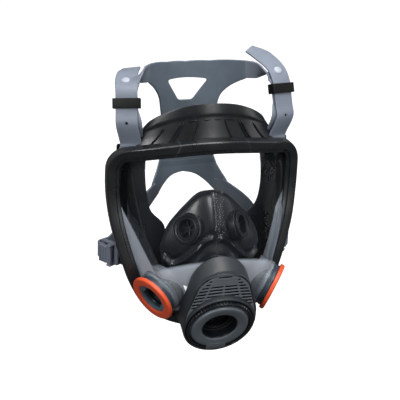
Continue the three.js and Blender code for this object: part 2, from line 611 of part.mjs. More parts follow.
function buildTempleStrap(name) {
  const stretch = [1, 0.66, 0.33, 0].map((t) => STRETCH.low.map((v, k) => (
    v + (STRETCH.high[k] - v) * t)));
  const behind = (p, i) => p.map((v, k) => v - STRAP_OUT[k] * LAYER_STEP - STRAP_ACROSS[k] * LEAN[i]);
  const bend = [[2.9, 7], [3.1, 3.7], [2.2, 1.5], [0, 0.6], [-2.2, 1.5], [-3.1, 3.7], [-2.9, 7]];
  const round = bend.map(([out, up]) => V(0, up, out).applyMatrix4(templeFrame).toArray());
  const knots = [
    ...TAIL[name],
    ...[...stretch, ...round, ...stretch.slice().reverse().map(behind)].map((at) => (
      { at, across: STRAP_ACROSS })),
    { at: [67.5, 1.2, 122.6], across: [0.93, 0.36, -0.05] },
    { at: [60, 5.5, 125.6], across: [0.66, 0.5, -0.55], width: 18 },
    { at: [53.2, 10, 126.6], across: [0.2, 0.2, -0.95], width: 17 },
    { at: [47.8, 15.3, 125.3], across: [0, 0, -1], width: 16.5 },
  ];
  const strap = ribbon(knots, 72);
  addMesh(`temple_strap_${name}`, name === 'left' ? mirroredGeometry(strap) : strap, 'strap', 0.6);
}

// A keeper holds the two layers of its strap together, this share of the way up the straight part.
const KEEPER_UP = { left: 0.6, right: 0.84 };

function buildKeepers() {
  const [low, high] = [V(...STRETCH.low), V(...STRETCH.high)];
  const along = high.clone().sub(low).normalize();
  const out = V(...STRAP_OUT).addScaledVector(along, -V(...STRAP_OUT).dot(along)).normalize();
  for (const [side, up] of Object.entries(KEEPER_UP)) {
    const middle = low.clone().lerp(high, up).addScaledVector(V(...STRAP_OUT), -LAYER_STEP / 2);
    const frame = frameAt(middle.toArray(), out.toArray(), along.toArray());
    const ring = fromSolid(placed(box(-12.4, 12.4, -4.5, 4.5, -4.6, 4.6), frame)
      .subtract(placed(box(-10.7, 10.7, -6, 6, -3.4, 3.4), frame)));
    addMesh(`keeper_${side}`, side === 'left' ? mirroredGeometry(ring) : ring, 'keeper', 0.6);
  }
}

function buildTempleBuckles() {
  const body = placed(box(-13.2, 13.2, -7, 5, -1.3, 1.3), templeFrame)
    .subtract(placed(box(-10.4, 10.4, -3.5, 2.4, -3, 3), templeFrame));
  addPair('temple_buckle', fromSolid(body), 'keeper', 0.5);
}

// A cheek buckle: its own +X runs from the facepiece to the harness, +Y up the mask, +Z outwards.
const CHEEK_BUCKLE = { at: [84, 3, -42.5], out: [0.83, -0.56, 0] };
const CHEEK_STRAP_WIDE = 15.5;
const cheekFrame = frameAt(CHEEK_BUCKLE.at, CHEEK_BUCKLE.out);
const HINGE = { x: -5, z: 6.4 };                 // the lever's pin

function buildCheekBuckles() {
  const pin = (r, half) => placed(turned(0, r, -half, half, 14).rotateX(Math.PI / 2)
    .translate(HINGE.x, 0, HINGE.z), cheekFrame);
  let body = placed(box(-11, 10, -10.8, 10.8, -2, 2), cheekFrame)
    .subtract(placed(box(-4, 6.5, -8.5, 8.5, -3, 3), cheekFrame));
  for (const [y0, y1] of [[-10.8, -8.8], [8.8, 10.8]]) {
    body = body.add(placed(box(HINGE.x - 2.6, HINGE.x + 2.6, y0, y1, 1, HINGE.z + 2.2), cheekFrame));
  }
  addPair('cheek_buckle', fromSolid(body.subtract(pin(1.5, 20))), 'buckle', 0.5);
  addPair('cheek_buckle_pin', fromSolid(pin(1.2, 10.6)), 'steel', 0.35);
  let lever = placed(box(-7.5, 7, -8.5, 8.5, 4.7, 8.1), cheekFrame);
  for (const x of [-1, 2.5, 6]) {
    lever = lever.add(placed(box(x - 0.8, x + 0.8, -8.5, 8.5, 7.8, 9.1), cheekFrame));
  }
  addPair('cheek_buckle_lever', fromSolid(lever.subtract(pin(1.5, 20))), 'buckle', 0.5);
}

function buildCheekStraps() {
  const overBuckle = [[-1, 3.35], [5, 3.35], [9.5, 3.4], [13.5, 2.2]]
    .map(([x, z]) => V(x, 0, z).applyMatrix4(cheekFrame).toArray());
  const knots = [
    { at: [34.6, plateBack(32.5) - 1.4, 2], across: [0.46, -0.58, 0.67], width: 18 },
    { at: [52, 27, -13], across: [0.4, -0.3, 0.86] },
    { at: [66, 27.5, -32], across: [0.3, -0.2, 0.93], width: CHEEK_STRAP_WIDE + 1 },
    { at: [80, 24, -43], across: [0.1, -0.1, 0.99], width: CHEEK_STRAP_WIDE },
    { at: [89, 19, -43.5], across: [0, 0, 1], width: CHEEK_STRAP_WIDE },
    ...overBuckle.reverse().map((at) => ({ at, across: [0, 0, 1], width: CHEEK_STRAP_WIDE })),
  ];
  addPair('cheek_strap', ribbon(knots, 26), 'strap', 0.6);
}

buildFacepiece();
buildNoseCup();
buildSidePorts();
buildHousing();
buildFrontPort();
buildPlate();
buildTempleStrap('left');
buildTempleStrap('right');
buildKeepers();
buildTempleBuckles();
buildCheekBuckles();
buildCheekStraps();

export default group;
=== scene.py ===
"""Full face respirator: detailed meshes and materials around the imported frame.

Lengths are in millimetres, and in metres where lights are placed and inside materials.
"""
import math

import bmesh
import bpy
import numpy as np
from mathutils import Matrix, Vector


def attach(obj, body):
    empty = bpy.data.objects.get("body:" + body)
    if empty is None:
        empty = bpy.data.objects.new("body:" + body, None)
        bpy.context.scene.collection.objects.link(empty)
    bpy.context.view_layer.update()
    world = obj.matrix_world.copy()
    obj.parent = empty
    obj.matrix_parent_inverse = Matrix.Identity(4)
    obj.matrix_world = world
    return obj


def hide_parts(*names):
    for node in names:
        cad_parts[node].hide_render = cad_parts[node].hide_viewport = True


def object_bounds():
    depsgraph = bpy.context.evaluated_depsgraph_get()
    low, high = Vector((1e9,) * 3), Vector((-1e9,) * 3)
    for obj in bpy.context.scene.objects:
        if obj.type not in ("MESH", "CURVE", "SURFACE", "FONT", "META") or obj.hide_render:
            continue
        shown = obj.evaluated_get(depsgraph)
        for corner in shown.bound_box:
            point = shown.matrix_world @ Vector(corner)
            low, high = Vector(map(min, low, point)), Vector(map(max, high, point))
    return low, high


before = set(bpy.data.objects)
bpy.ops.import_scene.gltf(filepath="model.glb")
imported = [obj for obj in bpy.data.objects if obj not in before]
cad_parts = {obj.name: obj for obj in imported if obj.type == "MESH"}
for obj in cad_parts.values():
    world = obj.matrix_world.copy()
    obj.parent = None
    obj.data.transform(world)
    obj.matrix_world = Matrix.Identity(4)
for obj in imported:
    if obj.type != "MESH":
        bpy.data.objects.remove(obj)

cad_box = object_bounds()
MM = 0.001

# ---- driving dimensions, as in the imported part
GAP = 0.3
AROUND = 288                       # sections around every loop of the mask
RING = {"width": 12, "depth": 12, "lip": 4, "wall": 3.5}
LENS_THICK = 3
SEAT_BACK = 9.5
RUBBER_THICK = 2.6
NECK = {"at": (0, -71, -46), "tilt": 9, "r": 20.5}
PORT_TILT = 22.9
PORT_AT = (0, -81.6, -87.1)
SIDE_AT = (59.2, -58.45, -64.75)
SIDE_AXIS = (0.8035, -0.46, -0.378)
NOSE_VALVE_AT = (26.3, -52.5, 0)
NOSE_VALVE_AXIS = (0.75, -0.545, 0.375)
GRILLE_TILT = 12
GRILLE_AT = (0, -89.5, -43.7)
CHAMBER = {"x": 11.2, "z": -42.7, "seat": 76}
DRAFT = {"from": 75.5, "edge": 86.5, "scale": 0.824, "last": 0.804, "foot": -72}
FAR = 100                          # past every face of the housing

# Stations around the mask from top centre to bottom centre, right half.
RING_EDGE = [
    (0, -50, 80), (30, -46, 77), (60, -35, 71.5), (81, -23, 65), (90, -18, 53), (91.5, -17, 36),
    (90.6, -18.4, 14), (86.9, -23.2, -11.6), (77.5, -29, -46), (70.5, -31, -66), (58.5, -35, -85),
    (36, -40, -100), (0, -43, -107),
]
RIM = [
    (0, -30, 106.5), (28, -26, 102.5), (52, -16, 89), (58, -8, 77), (69, -1, 62), (76, 5, 42),
    (80, 8, 14), (77, 8, -12), (70, 7, -44), (62, 5, -64), (50, 1, -84), (31, -6, -101),
    (0, -10, -109),
]
LIP = [
    (0, -19, 88), (24, -16, 85), (43, -11, 77), (50, -8, 68), (54, -9, 56), (55.5, -12, 41),
    (54.4, -15.6, 20.7), (50.5, -16, 5), (37, -15, -12), (37, -9, -45), (33, -8, -66), (20, -10, -82),
    (0, -12, -88),
]
CUP_EDGE = [
    (0, -38, 30), (11, -36, 28), (23, -32, 15), (31, -28, 2), (32, -25, -16), (30, -20, -40),
    (25, -14, -60), (13, -12, -71), (0, -12, -73),
]
CUP_BELLY = [
    (0, -44, 28), (14, -43, 24.5), (29, -40, 11), (41, -39, -4), (47, -40, -20), (45, -40, -40),
    (34, -38, -57), (17, -37, -67), (0, -37, -70),
]
CUP_SHOULDER = [
    (0, -56, 5), (9, -56, 3), (18, -55.5, -4), (26, -53, -13), (31, -52, -26), (31, -50, -42),
    (26, -48, -55), (14, -46, -62), (0, -46, -64),
]
CUP_THICK = 2.2


# ---- camera, lights and floor
# Azimuth, elevation and roll in degrees, and the point that the camera looks at.
CAMERA = {"angles": (-16.95, 22, 2.25), "target": (-11.4, -42.0, 22.5), "distance": 950, "lens": 94.8}


def pose_of(right, up, back, at):
    """The pose with these three axes, at this point."""
    pose = np.eye(4)
    pose[:3, 0], pose[:3, 1], pose[:3, 2], pose[:3, 3] = right, up, back, at
    return pose


def camera_axes(azimuth, elevation, roll):
    """Right, up and back directions of a camera at these angles, in degrees."""
    a, e, r = (math.radians(v) for v in (azimuth, elevation, roll))
    back = np.array([math.sin(a) * math.cos(e), -math.cos(a) * math.cos(e), math.sin(e)])
    right = np.array([math.cos(a), math.sin(a), 0.0])
    up = np.cross(back, right)
    return right * math.cos(r) + up * math.sin(r), up * math.cos(r) - right * math.sin(r), back


def make_camera():
    right, up, back = camera_axes(*CAMERA["angles"])
    target = np.array(CAMERA["target"])
    data = bpy.data.cameras.new("camera")
    data.lens = CAMERA["lens"]
    data.clip_end = 10
    camera = new_object("camera", data)
    pose = pose_of(right, up, back, (target + back * CAMERA["distance"]) * MM)
    camera.matrix_world = Matrix(pose.tolist())
    bpy.context.scene.camera = camera


def area_light(name, at, aim, size, power, colour=(1, 1, 1)):
    data = bpy.data.lights.new(name, "AREA")
    data.shape = "RECTANGLE"
    data.size, data.size_y = size
    data.energy = power
    data.color = colour
    light = new_object(name, data)
    back = np.array(at, float) - np.array(aim, float)
    back /= np.linalg.norm(back)
    right = np.cross((0, 0, 1), back)
    right /= np.linalg.norm(right)
    light.matrix_world = Matrix(pose_of(right, np.cross(back, right), back, at).tolist())


def make_surroundings(scene):
    """A white backdrop that lights the object only softly, and more from above than from the sides."""
    world = bpy.data.worlds.new("studio")
    scene.world = world
    world.use_nodes = True
    nodes, links = world.node_tree.nodes, world.node_tree.links
    seen = nodes["Background"]
    seen.inputs["Color"].default_value = (1, 1, 1, 1)
    seen.inputs["Strength"].default_value = 1.0
    glow = nodes.new("ShaderNodeBackground")
    split = nodes.new("ShaderNodeSeparateXYZ")
    links.new(nodes.new("ShaderNodeTexCoord").outputs["Generated"], split.inputs[0])
    links.new(ranged(world.node_tree, split.outputs[2], -0.3, 1.0, 0.12, 0.5), glow.inputs["Strength"])
    choose = nodes.new("ShaderNodeMixShader")
    links.new(nodes.new("ShaderNodeLightPath").outputs["Is Camera Ray"], choose.inputs["Fac"])
    links.new(glow.outputs[0], choose.inputs[1])
    links.new(seen.outputs[0], choose.inputs[2])
    links.new(choose.outputs[0], nodes["World Output"].inputs["Surface"])


def make_studio():
    scene = bpy.context.scene
    scene.view_settings.view_transform = "Standard"
    make_surroundings(scene)
    middle = (0, -0.03, 0)
    area_light("key", (0.25, -0.8, 1.3), middle, (0.6, 0.6), 11)
    area_light("side", (-1.0, -0.9, 0.8), middle, (0.4, 0.7), 8.5)
    area_light("front", (0.42, -1.4, 0.42), middle, (0.25, 0.7), 3)
    area_light("fill", (1.2, -0.5, 0.35), middle, (0.3, 1.0), 1.5)
    area_light("top", (0.1, 0.1, 1.5), middle, (1.2, 0.7), 12)
    bpy.ops.mesh.primitive_plane_add(size=8, location=(0, 0, cad_box[0][2] - 0.1))
    floor = bpy.context.object
    floor.name = "floor"
    floor.data.materials.append(make_floor_material())
    floor.visible_diffuse = False
    floor.visible_glossy = False


def make_floor_material():
    mat, tree, shader = new_material("floor", (0.5, 0.5, 0.5), 0.9)
    shader.inputs["Emission Color"].default_value = (1, 1, 1, 1)
    shader.inputs["Emission Strength"].default_value = 0.8
    return mat


# ---- mesh tools
def spline(points, at, closed=False):
    """Centripetal Catmull-Rom points at the given shares of the way along."""
    p = np.asarray(points, float)
    n = len(p)
    s = np.asarray(at, float) * (n if closed else n - 1)
    if closed:
        i = np.floor(s).astype(int)
        q = [p[(i + k) % n] for k in (-1, 0, 1, 2)]
    else:
        i = np.clip(np.floor(s).astype(int), 0, n - 2)
        ends = np.vstack([2 * p[0] - p[1], p, 2 * p[-1] - p[-2]])
        q = [ends[i + k] for k in range(4)]
    a, b, c = (np.maximum(np.linalg.norm(q[k + 1] - q[k], axis=1), 1e-6)[:, None] ** 0.5
               for k in range(3))
    t1 = b * ((q[1] - q[0]) / a - (q[2] - q[0]) / (a + b) + (q[2] - q[1]) / b)
    t2 = b * ((q[2] - q[1]) / b - (q[3] - q[1]) / (b + c) + (q[3] - q[2]) / c)
    w = (s - i)[:, None]
    return ((2 * w**3 - 3 * w**2 + 1) * q[1] + (w**3 - 2 * w**2 + w) * t1
            + (3 * w**2 - 2 * w**3) * q[2] + (w**3 - w**2) * t2)


def loop(stations, count=AROUND):
    """Points of a closed, mirrored loop through the stations of its right half."""
    left = [(-x, y, z) for x, y, z in stations[-2:0:-1]]
    return spline([*stations, *left], np.arange(count) / count, closed=True)


def smoothed(points, rounds):
    """A closed loop with its small waves taken out."""
    for _ in range(rounds):
        points = points / 2 + (np.roll(points, 1, 0) + np.roll(points, -1, 0)) / 4
    return points


def unit(v):
    v = np.asarray(v, float)
    return v / np.linalg.norm(v, axis=-1, keepdims=True)


def fillet(points, cut, steps=4, closed=True):
    """The same outline with each corner rounded, starting cut before it."""
    p = np.asarray(points, float)
    cuts = np.broadcast_to(cut, len(p))
    out = []
    for i, corner in enumerate(p):
        if not closed and i in (0, len(p) - 1):
            out.append(corner)
            continue
        before, after = p[i - 1] - corner, p[(i + 1) % len(p)] - corner
        near = min(cuts[i], 0.45 * np.linalg.norm(before), 0.45 * np.linalg.norm(after))
        if near < 1e-3:
            out.append(corner)
            continue
        a, b = corner + unit(before) * near, corner + unit(after) * near
        for t in np.linspace(0, 1, steps + 1):
            out.append((1 - t) ** 2 * a + 2 * t * (1 - t) * corner + t * t * b)
    return np.array(out)


def rounded(x, y, cut, steps):
    """A rectangle with rounded corners between two limits each way."""
    return fillet([(x[0], y[0]), (x[1], y[0]), (x[1], y[1]), (x[0], y[1])], cut, steps)


def frame_at(at, axis, up=(0, 0, 1)):
    """The pose whose own +Z looks along axis and whose own +Y leans to up."""
    z = unit(axis)
    x = unit(np.cross(up, z))
    return pose_of(x, np.cross(z, x), z, at)


def spun(pose, degrees):
    """The pose turned about its own +Z."""
    a = math.radians(degrees)
    turn = np.eye(4)
    turn[:2, :2] = [[math.cos(a), -math.sin(a)], [math.sin(a), math.cos(a)]]
    return pose @ turn


def tilted(degrees):
    angle = math.radians(degrees)
    return (0, -math.cos(angle), -math.sin(angle))


def put(points, pose):
    return np.asarray(points, float) @ pose[:3, :3].T + pose[:3, 3]


def coordinates(mesh):
    points = np.empty(len(mesh.vertices) * 3, np.float32)
    mesh.vertices.foreach_get("co", points)
    return points.reshape(-1, 3)


def new_object(name, data):
    obj = bpy.data.objects.new(name, data)
    bpy.context.scene.collection.objects.link(obj)
    return obj


def mesh_object(name, points, faces):
    mesh = bpy.data.meshes.new(name)
    mesh.from_pydata((np.asarray(points) * MM).tolist(), [], faces)
    turn_out(mesh)
    return new_object(name, mesh)


def turn_out(mesh):
    """Makes the faces of every closed body point out."""
    bm = bmesh.new()
    bm.from_mesh(mesh)
    bmesh.ops.remove_doubles(bm, verts=bm.verts, dist=1e-6)
    bmesh.ops.dissolve_degenerate(bm, edges=bm.edges, dist=1e-6)
    bmesh.ops.recalc_face_normals(bm, faces=bm.faces)
    bm.to_mesh(mesh)
    bm.free()


def lofted(name, rows, joined=False):
    """A closed body through rows of points that each go round. Its ends meet, or are closed by fans."""
    rows = np.asarray(rows, float)
    n, m, _ = rows.shape
    points = rows.reshape(-1, 3)
    faces = []
    for i in range(n if joined else n - 1):
        a, b = i * m, (i + 1) % n * m
        faces += [(a + j, a + (j + 1) % m, b + (j + 1) % m, b + j) for j in range(m)]
    if not joined:
        points = np.vstack([points, rows[0].mean(0), rows[-1].mean(0)])
        faces += [(n * m, (j + 1) % m, j) for j in range(m)]
        last = (n - 1) * m
        faces += [(n * m + 1, last + j, last + (j + 1) % m) for j in range(m)]
    return mesh_object(name, points, faces)


def turned(name, profile, pose, segments=96, soft=0.35, steps=3):
    """A body of revolution. A profile from axis to axis is solid, and any other closes on itself."""
    solid = profile[0][0] == 0
    line = fillet(profile, soft, steps, closed=not solid)
    if solid:
        line = line[(line[:, 0] > 0)]
        ends = [profile[0], profile[-1]]
        line = np.vstack([[0.02, ends[0][1]], line, [0.02, ends[1][1]]])
    angle = np.arange(segments) * 2 * math.pi / segments
    rows = [np.stack([r * np.cos(angle), r * np.sin(angle), np.full(segments, z)], 1)
            for r, z in line]
    return lofted(name, [put(row, pose) for row in rows], joined=not solid)


def applied(obj):
    """Replaces the object's mesh by what its modifiers make of it."""
    graph = bpy.context.evaluated_depsgraph_get()
    mesh = bpy.data.meshes.new_from_object(obj.evaluated_get(graph))
    obj.modifiers.clear()
    obj.data = mesh
    return obj


def combine(obj, other, operation, keep=False):
    join = obj.modifiers.new("join", "BOOLEAN")
    join.object, join.operation, join.solver = other, operation, "EXACT"
    applied(obj)
    if not keep:
        bpy.data.objects.remove(other)
    return obj


def cut(obj, other, keep=False):
    return combine(obj, other, "DIFFERENCE", keep)


def fuse(obj, other, keep=False):
    return combine(obj, other, "UNION", keep)


def join_meshes(name, objects):
    """One object that holds the meshes of several."""
    bm = bmesh.new()
    for obj in objects:
        bm.from_mesh(obj.data)
        bpy.data.objects.remove(obj)
    mesh = bpy.data.meshes.new(name)
    bm.to_mesh(mesh)
    bm.free()
    return new_object(name, mesh)


def mirrored(obj, name):
    """The same piece on the other side of the mask."""
    mesh = obj.data.copy()
    mesh.vertices.foreach_set("co", (coordinates(mesh) * (-1, 1, 1)).astype(np.float32).ravel())
    mesh.flip_normals()
    return new_object(name, mesh)


def combine_both(obj, tool, operation):
    """Joins or cuts with a tool and with its mirrored copy."""
    combine(obj, mirrored(tool, "other_side"), operation)
    combine(obj, tool, operation)


def on_side(obj, side):
    """A right-hand piece as it is, or its mirrored copy in its place for the left."""
    if side == "right":
        return obj
    other = mirrored(obj, "other_side")
    bpy.data.objects.remove(obj)
    return other


def box(name, x, y, z, pose, soft=0.4, steps=2):
    """A block with rounded edges, between the given limits in the pose's own axes."""
    mesh = bpy.data.meshes.new(name)
    bm = bmesh.new()
    bmesh.ops.create_cube(bm, size=1)
    for v in bm.verts:
        v.co = [lo if c < 0 else hi for c, (lo, hi) in zip(v.co, (x, y, z))]
    if soft:
        bmesh.ops.bevel(bm, geom=bm.edges, offset=soft, segments=steps, profile=0.5, affect="EDGES")
    for v in bm.verts:
        v.co = put([v.co], pose)[0] * MM
    bmesh.ops.recalc_face_normals(bm, faces=bm.faces)
    bm.to_mesh(mesh)
    bm.free()
    return new_object(name, mesh)


def plate(name, outlines, low, high, pose, edge=0.4, steps=2):
    """A flat piece with holes between two heights in the pose's own axes, with rounded edges."""
    curve = bpy.data.curves.new(name, "CURVE")
    curve.dimensions, curve.fill_mode = "2D", "BOTH"
    curve.extrude = (high - low) / 2 - edge
    curve.bevel_depth, curve.bevel_resolution, curve.offset = edge, steps, -edge
    for outline in outlines:
        line = curve.splines.new("POLY")
        line.points.add(len(outline) - 1)
        line.points.foreach_set("co", np.column_stack(
            [outline, np.zeros(len(outline)), np.ones(len(outline))]).ravel())
        line.use_cyclic_u = True
    source = new_object(name + "_outline", curve)
    graph = bpy.context.evaluated_depsgraph_get()
    mesh = bpy.data.meshes.new_from_object(source.evaluated_get(graph))
    bpy.data.objects.remove(source)
    points = coordinates(mesh) + (0, 0, (low + high) / 2)
    mesh.vertices.foreach_set("co", (put(points, pose) * MM).astype(np.float32).ravel())
    turn_out(mesh)
    return new_object(name, mesh)


def soften(obj, voxel, rounds):
    """Remeshes a joined body evenly and smooths it, so that its edges and inner corners are rounded."""
    remesh = obj.modifiers.new("even", "REMESH")
    remesh.mode, remesh.voxel_size, remesh.adaptivity = "VOXEL", voxel * MM, 0
    smooth = obj.modifiers.new("soft", "SMOOTH")
    smooth.factor, smooth.iterations = 0.5, rounds
    return applied(obj)


def shaded(obj, material, angle=35):
    obj.data.materials.clear()
    obj.data.materials.append(material)
    obj.data.polygons.foreach_set("use_smooth", [True] * len(obj.data.polygons))
    obj.data.set_sharp_from_angle(angle=math.radians(angle))
    return obj


def place(obj, body, nodes, material, angle=35):
    """Finishes a piece: its material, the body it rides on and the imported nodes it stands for."""
    shaded(obj, material, angle)
    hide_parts(*nodes)
    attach(obj, body)
    return obj


def turned_piece(node, profile, pose, material, soft=0.35, body="mask"):
    """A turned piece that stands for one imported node."""
    place(turned(node + "_form", profile, pose, 96, soft), body, [node], material)


def place_pair(obj, name, material, moving=False, stands_for=None):
    """Places a right-hand piece and its mirrored left-hand copy."""
    for side, piece in (("left", mirrored(obj, f"{name}_left_form")), ("right", obj)):
        piece.name = f"{name}_{side}_form"
        body = f"{name}_{side}" if moving else "mask"
        place(piece, body, [f"{stands_for or name}_{side}"], material)


# ---- materials
def linear(hex_colour):
    """A colour written as in a paint chart, such as '3c4146', as the shader takes it."""
    parts = [int(hex_colour[i:i + 2], 16) / 255 for i in (0, 2, 4)]
    return [c / 12.92 if c <= 0.04045 else ((c + 0.055) / 1.055) ** 2.4 for c in parts]


def new_material(name, colour, roughness):
    mat = bpy.data.materials.new(name)
    mat.use_nodes = True
    shader = mat.node_tree.nodes["Principled BSDF"]
    shader.inputs["Base Color"].default_value = (*colour, 1)
    shader.inputs["Roughness"].default_value = roughness
    return mat, mat.node_tree, shader


def noise(tree, coords, scale, detail=3.0, rough=0.55):
    node = tree.nodes.new("ShaderNodeTexNoise")
    node.inputs["Scale"].default_value = scale
    node.inputs["Detail"].default_value = detail
    node.inputs["Roughness"].default_value = rough
    tree.links.new(coords, node.inputs["Vector"])
    return node.outputs["Fac"]


def ranged(tree, value, low, high, to_low, to_high):
    node = tree.nodes.new("ShaderNodeMapRange")
    for key, number in zip(("From Min", "From Max", "To Min", "To Max"), (low, high, to_low, to_high)):
        node.inputs[key].default_value = number
    tree.links.new(value, node.inputs["Value"])
    return node.outputs["Result"]


def mixed(tree, factor, a, b):
    """A colour between a and b. Each is three numbers or a socket."""
    node = tree.nodes.new("ShaderNodeMix")
    node.data_type = "RGBA"
    tree.links.new(factor, node.inputs["Factor"])
    for socket, colour in ((node.inputs[6], a), (node.inputs[7], b)):
        if isinstance(colour, bpy.types.NodeSocket):
            tree.links.new(colour, socket)
        else:
            socket.default_value = (*colour, 1)
    return node.outputs[2]


def bumped(tree, shader, height, strength, distance):
    node = tree.nodes.new("ShaderNodeBump")
    node.inputs["Strength"].default_value = strength
    node.inputs["Distance"].default_value = distance
    tree.links.new(height, node.inputs["Height"])
    tree.links.new(node.outputs["Normal"], shader.inputs["Normal"])


def object_coords(tree):
    return tree.nodes.new("ShaderNodeTexCoord").outputs["Object"]


def moulded(name, colour, roughness, tint=0.12, patch=40, uneven=0.07, grain=1400, depth=0.00004,
            shine=0.5):
    """Moulded rubber or plastic: slow patches of colour, uneven gloss, faint dust and a fine grain."""
    base = np.array(linear(colour))
    mat, tree, shader = new_material(name, base, roughness)
    shader.inputs["Specular IOR Level"].default_value = shine
    coords = object_coords(tree)
    slow = noise(tree, coords, patch)
    middle = noise(tree, coords, patch * 6, 4)
    fine = noise(tree, coords, grain, 2)
    body = mixed(tree, ranged(tree, slow, 0.3, 0.7, 0, 1), base * (1 - tint), base * (1 + tint))
    dust = base * 0.8 + np.array(linear("9aa0a6")) * 0.05
    speckled = mixed(tree, ranged(tree, middle, 0.55, 0.8, 0, 0.6), body, dust)
    tree.links.new(speckled, shader.inputs["Base Color"])
    gloss = ranged(tree, slow, 0.3, 0.7, roughness - uneven, roughness + uneven)
    tree.links.new(gloss, shader.inputs["Roughness"])
    bumped(tree, shader, fine, 0.35, depth)
    return mat


def make_lens_material():
    """Clear sheet that reflects by its angle, with a milky band below the crease and along the sides."""
    mat, tree, shader = new_material("lens", linear("dde6f2"), 0.5)
    links, nodes = tree.links, tree.nodes
    clear = nodes.new("ShaderNodeBsdfTransparent")
    clear.inputs["Color"].default_value = (0.995, 0.997, 1, 1)
    shine = nodes.new("ShaderNodeBsdfGlossy")
    shine.inputs["Roughness"].default_value = 0.04
    fresnel = nodes.new("ShaderNodeFresnel")
    fresnel.inputs["IOR"].default_value = 1.22
    sheet = nodes.new("ShaderNodeMixShader")
    links.new(ranged(tree, fresnel.outputs["Fac"], 0, 1, 0, 0.18), sheet.inputs["Fac"])
    links.new(clear.outputs[0], sheet.inputs[1])
    links.new(shine.outputs[0], sheet.inputs[2])
    milky = nodes.new("ShaderNodeMixShader")
    links.new(haze_amount(tree), milky.inputs["Fac"])
    links.new(sheet.outputs[0], milky.inputs[1])
    links.new(shader.outputs[0], milky.inputs[2])
    links.new(milky.outputs[0], nodes["Material Output"].inputs["Surface"])
    return mat


def math_node(tree, operation, a, b=0.0):
    node = tree.nodes.new("ShaderNodeMath")
    node.operation = operation
    for socket, value in zip(node.inputs, (a, b)):
        if isinstance(value, bpy.types.NodeSocket):
            tree.links.new(value, socket)
        else:
            socket.default_value = value
    return node.outputs[0]


HAZE = {"chin": 0.42, "clear": 0.003, "wedge": 0.66, "port": 0.3}
WEDGE = {"at": 0.0728, "lean": 0.464}         # metres from the middle at z = 0, and outwards per height


def haze_amount(tree):
    """How milky the lens is: below the crease, and in a wedge that narrows up each side."""
    coords = object_coords(tree)
    split = tree.nodes.new("ShaderNodeSeparateXYZ")
    tree.links.new(coords, split.inputs[0])
    x, z = split.outputs[0], split.outputs[2]
    drop = math_node(tree, "MULTIPLY", math_node(tree, "MULTIPLY", x, x), 3.2)
    above = math_node(tree, "ADD", math_node(tree, "ADD", z, drop), 0.025)
    chin = ranged(tree, above, -0.0012, 0.0006, HAZE["chin"], HAZE["clear"])
    wide = math_node(tree, "ABSOLUTE", x)
    lean = math_node(tree, "MULTIPLY", z, WEDGE["lean"])
    beyond = math_node(tree, "SUBTRACT", math_node(tree, "SUBTRACT", wide, lean), WEDGE["at"])
    side = ranged(tree, beyond, 0, 0.0012, 0, HAZE["wedge"])
    mottle = ranged(tree, noise(tree, coords, 30), 0.3, 0.7, 0.85, 1.1)
    hazy = math_node(tree, "MULTIPLY", math_node(tree, "MAXIMUM", chin, side), mottle)
    away = ranged(tree, port_distance(tree, wide, split), 0.0216, 0.0220, HAZE["port"], 1)
    return math_node(tree, "MULTIPLY", hazy, away)


def port_distance(tree, wide, split):
    """How far a point is from the axis of the side port on its side of the mask, in metres."""
    folded = tree.nodes.new("ShaderNodeCombineXYZ")
    for socket, value in zip(folded.inputs, (wide, split.outputs[1], split.outputs[2])):
        tree.links.new(value, socket)
    offset, crossed, length = (tree.nodes.new("ShaderNodeVectorMath") for _ in range(3))
    for node, operation in ((offset, "SUBTRACT"), (crossed, "CROSS_PRODUCT"), (length, "LENGTH")):
        node.operation = operation
    offset.inputs[1].default_value = np.array(SIDE_AT) * MM
    crossed.inputs[1].default_value = unit(SIDE_AXIS)
    tree.links.new(folded.outputs[0], offset.inputs[0])
    tree.links.new(offset.outputs[0], crossed.inputs[0])
    tree.links.new(crossed.outputs[0], length.inputs[0])
    return length.outputs["Value"]


def make_steel():
    mat, tree, shader = new_material("steel", linear("b0b4b8"), 0.3)
    shader.inputs["Metallic"].default_value = 1
    coords = object_coords(tree)
    tree.links.new(ranged(tree, noise(tree, coords, 600), 0.3, 0.7, 0.22, 0.42), shader.inputs["Roughness"])
    return mat


RUBBER = moulded("rubber", "0d1116", 0.3, shine=0.8)
CUP_RUBBER = moulded("cup_rubber", "0c1117", 0.3, uneven=0.03, depth=0.000008, shine=0.6)
RING_BLACK = moulded("ring_black", "14181b", 0.3, shine=0.9)
HOUSING = moulded("housing_grey", "2c3135", 0.42, grain=2200)
GRILLE = moulded("grille_grey", "656b71", 0.5, grain=2200)
# Near-black matte for the sheet behind the grille: painted shade that makes the slots read dark.
SHADE_SHEET = moulded("painted_shade_black", "050607", 0.8, shine=0.1)
CLAMP = moulded("clamp_grey", "5a6067", 0.45, grain=2200)
DISC = moulded("disc_grey", "5c646b", 0.45, grain=2200)
SOCKET = moulded("socket_black", "11161b", 0.32)
ORANGE = moulded("orange", "e8572f", 0.42, tint=0.06)
SILICONE = moulded("silicone", "5d6870", 0.35, tint=0.05)
DARK_SILICONE = moulded("dark_silicone", "12161b", 0.4, tint=0.05)
FILM = moulded("film", "8f9498", 0.2, tint=0.04)
STRAP_GREY = moulded("strap_grey", "7b8391", 0.5, tint=0.07, grain=1800)
PLATE_GREY = moulded("plate_grey", "6c7884", 0.5, tint=0.09, grain=1800)
KEEPER_BLACK = moulded("keeper_black", "070809", 0.5, shine=0.25)
STUD_GREY = moulded("stud_grey", "b4bac6", 0.4)
# Light blue-grey of the bayonet lugs, their own colour; on the ring at the bore's mouth the same tone is a
# painted highlight along the rim.
LUG_BLUE_AND_RIM_HIGHLIGHT = moulded("lug_blue_and_rim_highlight", "566b79", 0.35)
PORT_DARK = moulded("port_dark", "34424d", 0.35)
# Lighter grey for the thin strips in the gaps between ring and bridge: painted highlight along the parting
# lines.
SEAM_HIGHLIGHT_GREY = moulded("seam_painted_highlight", "4c5357", 0.5)
BUCKLE_GREY = moulded("buckle_grey", "7b8292", 0.45, grain=2200)
STEEL = make_steel()
LENS = make_lens_material()

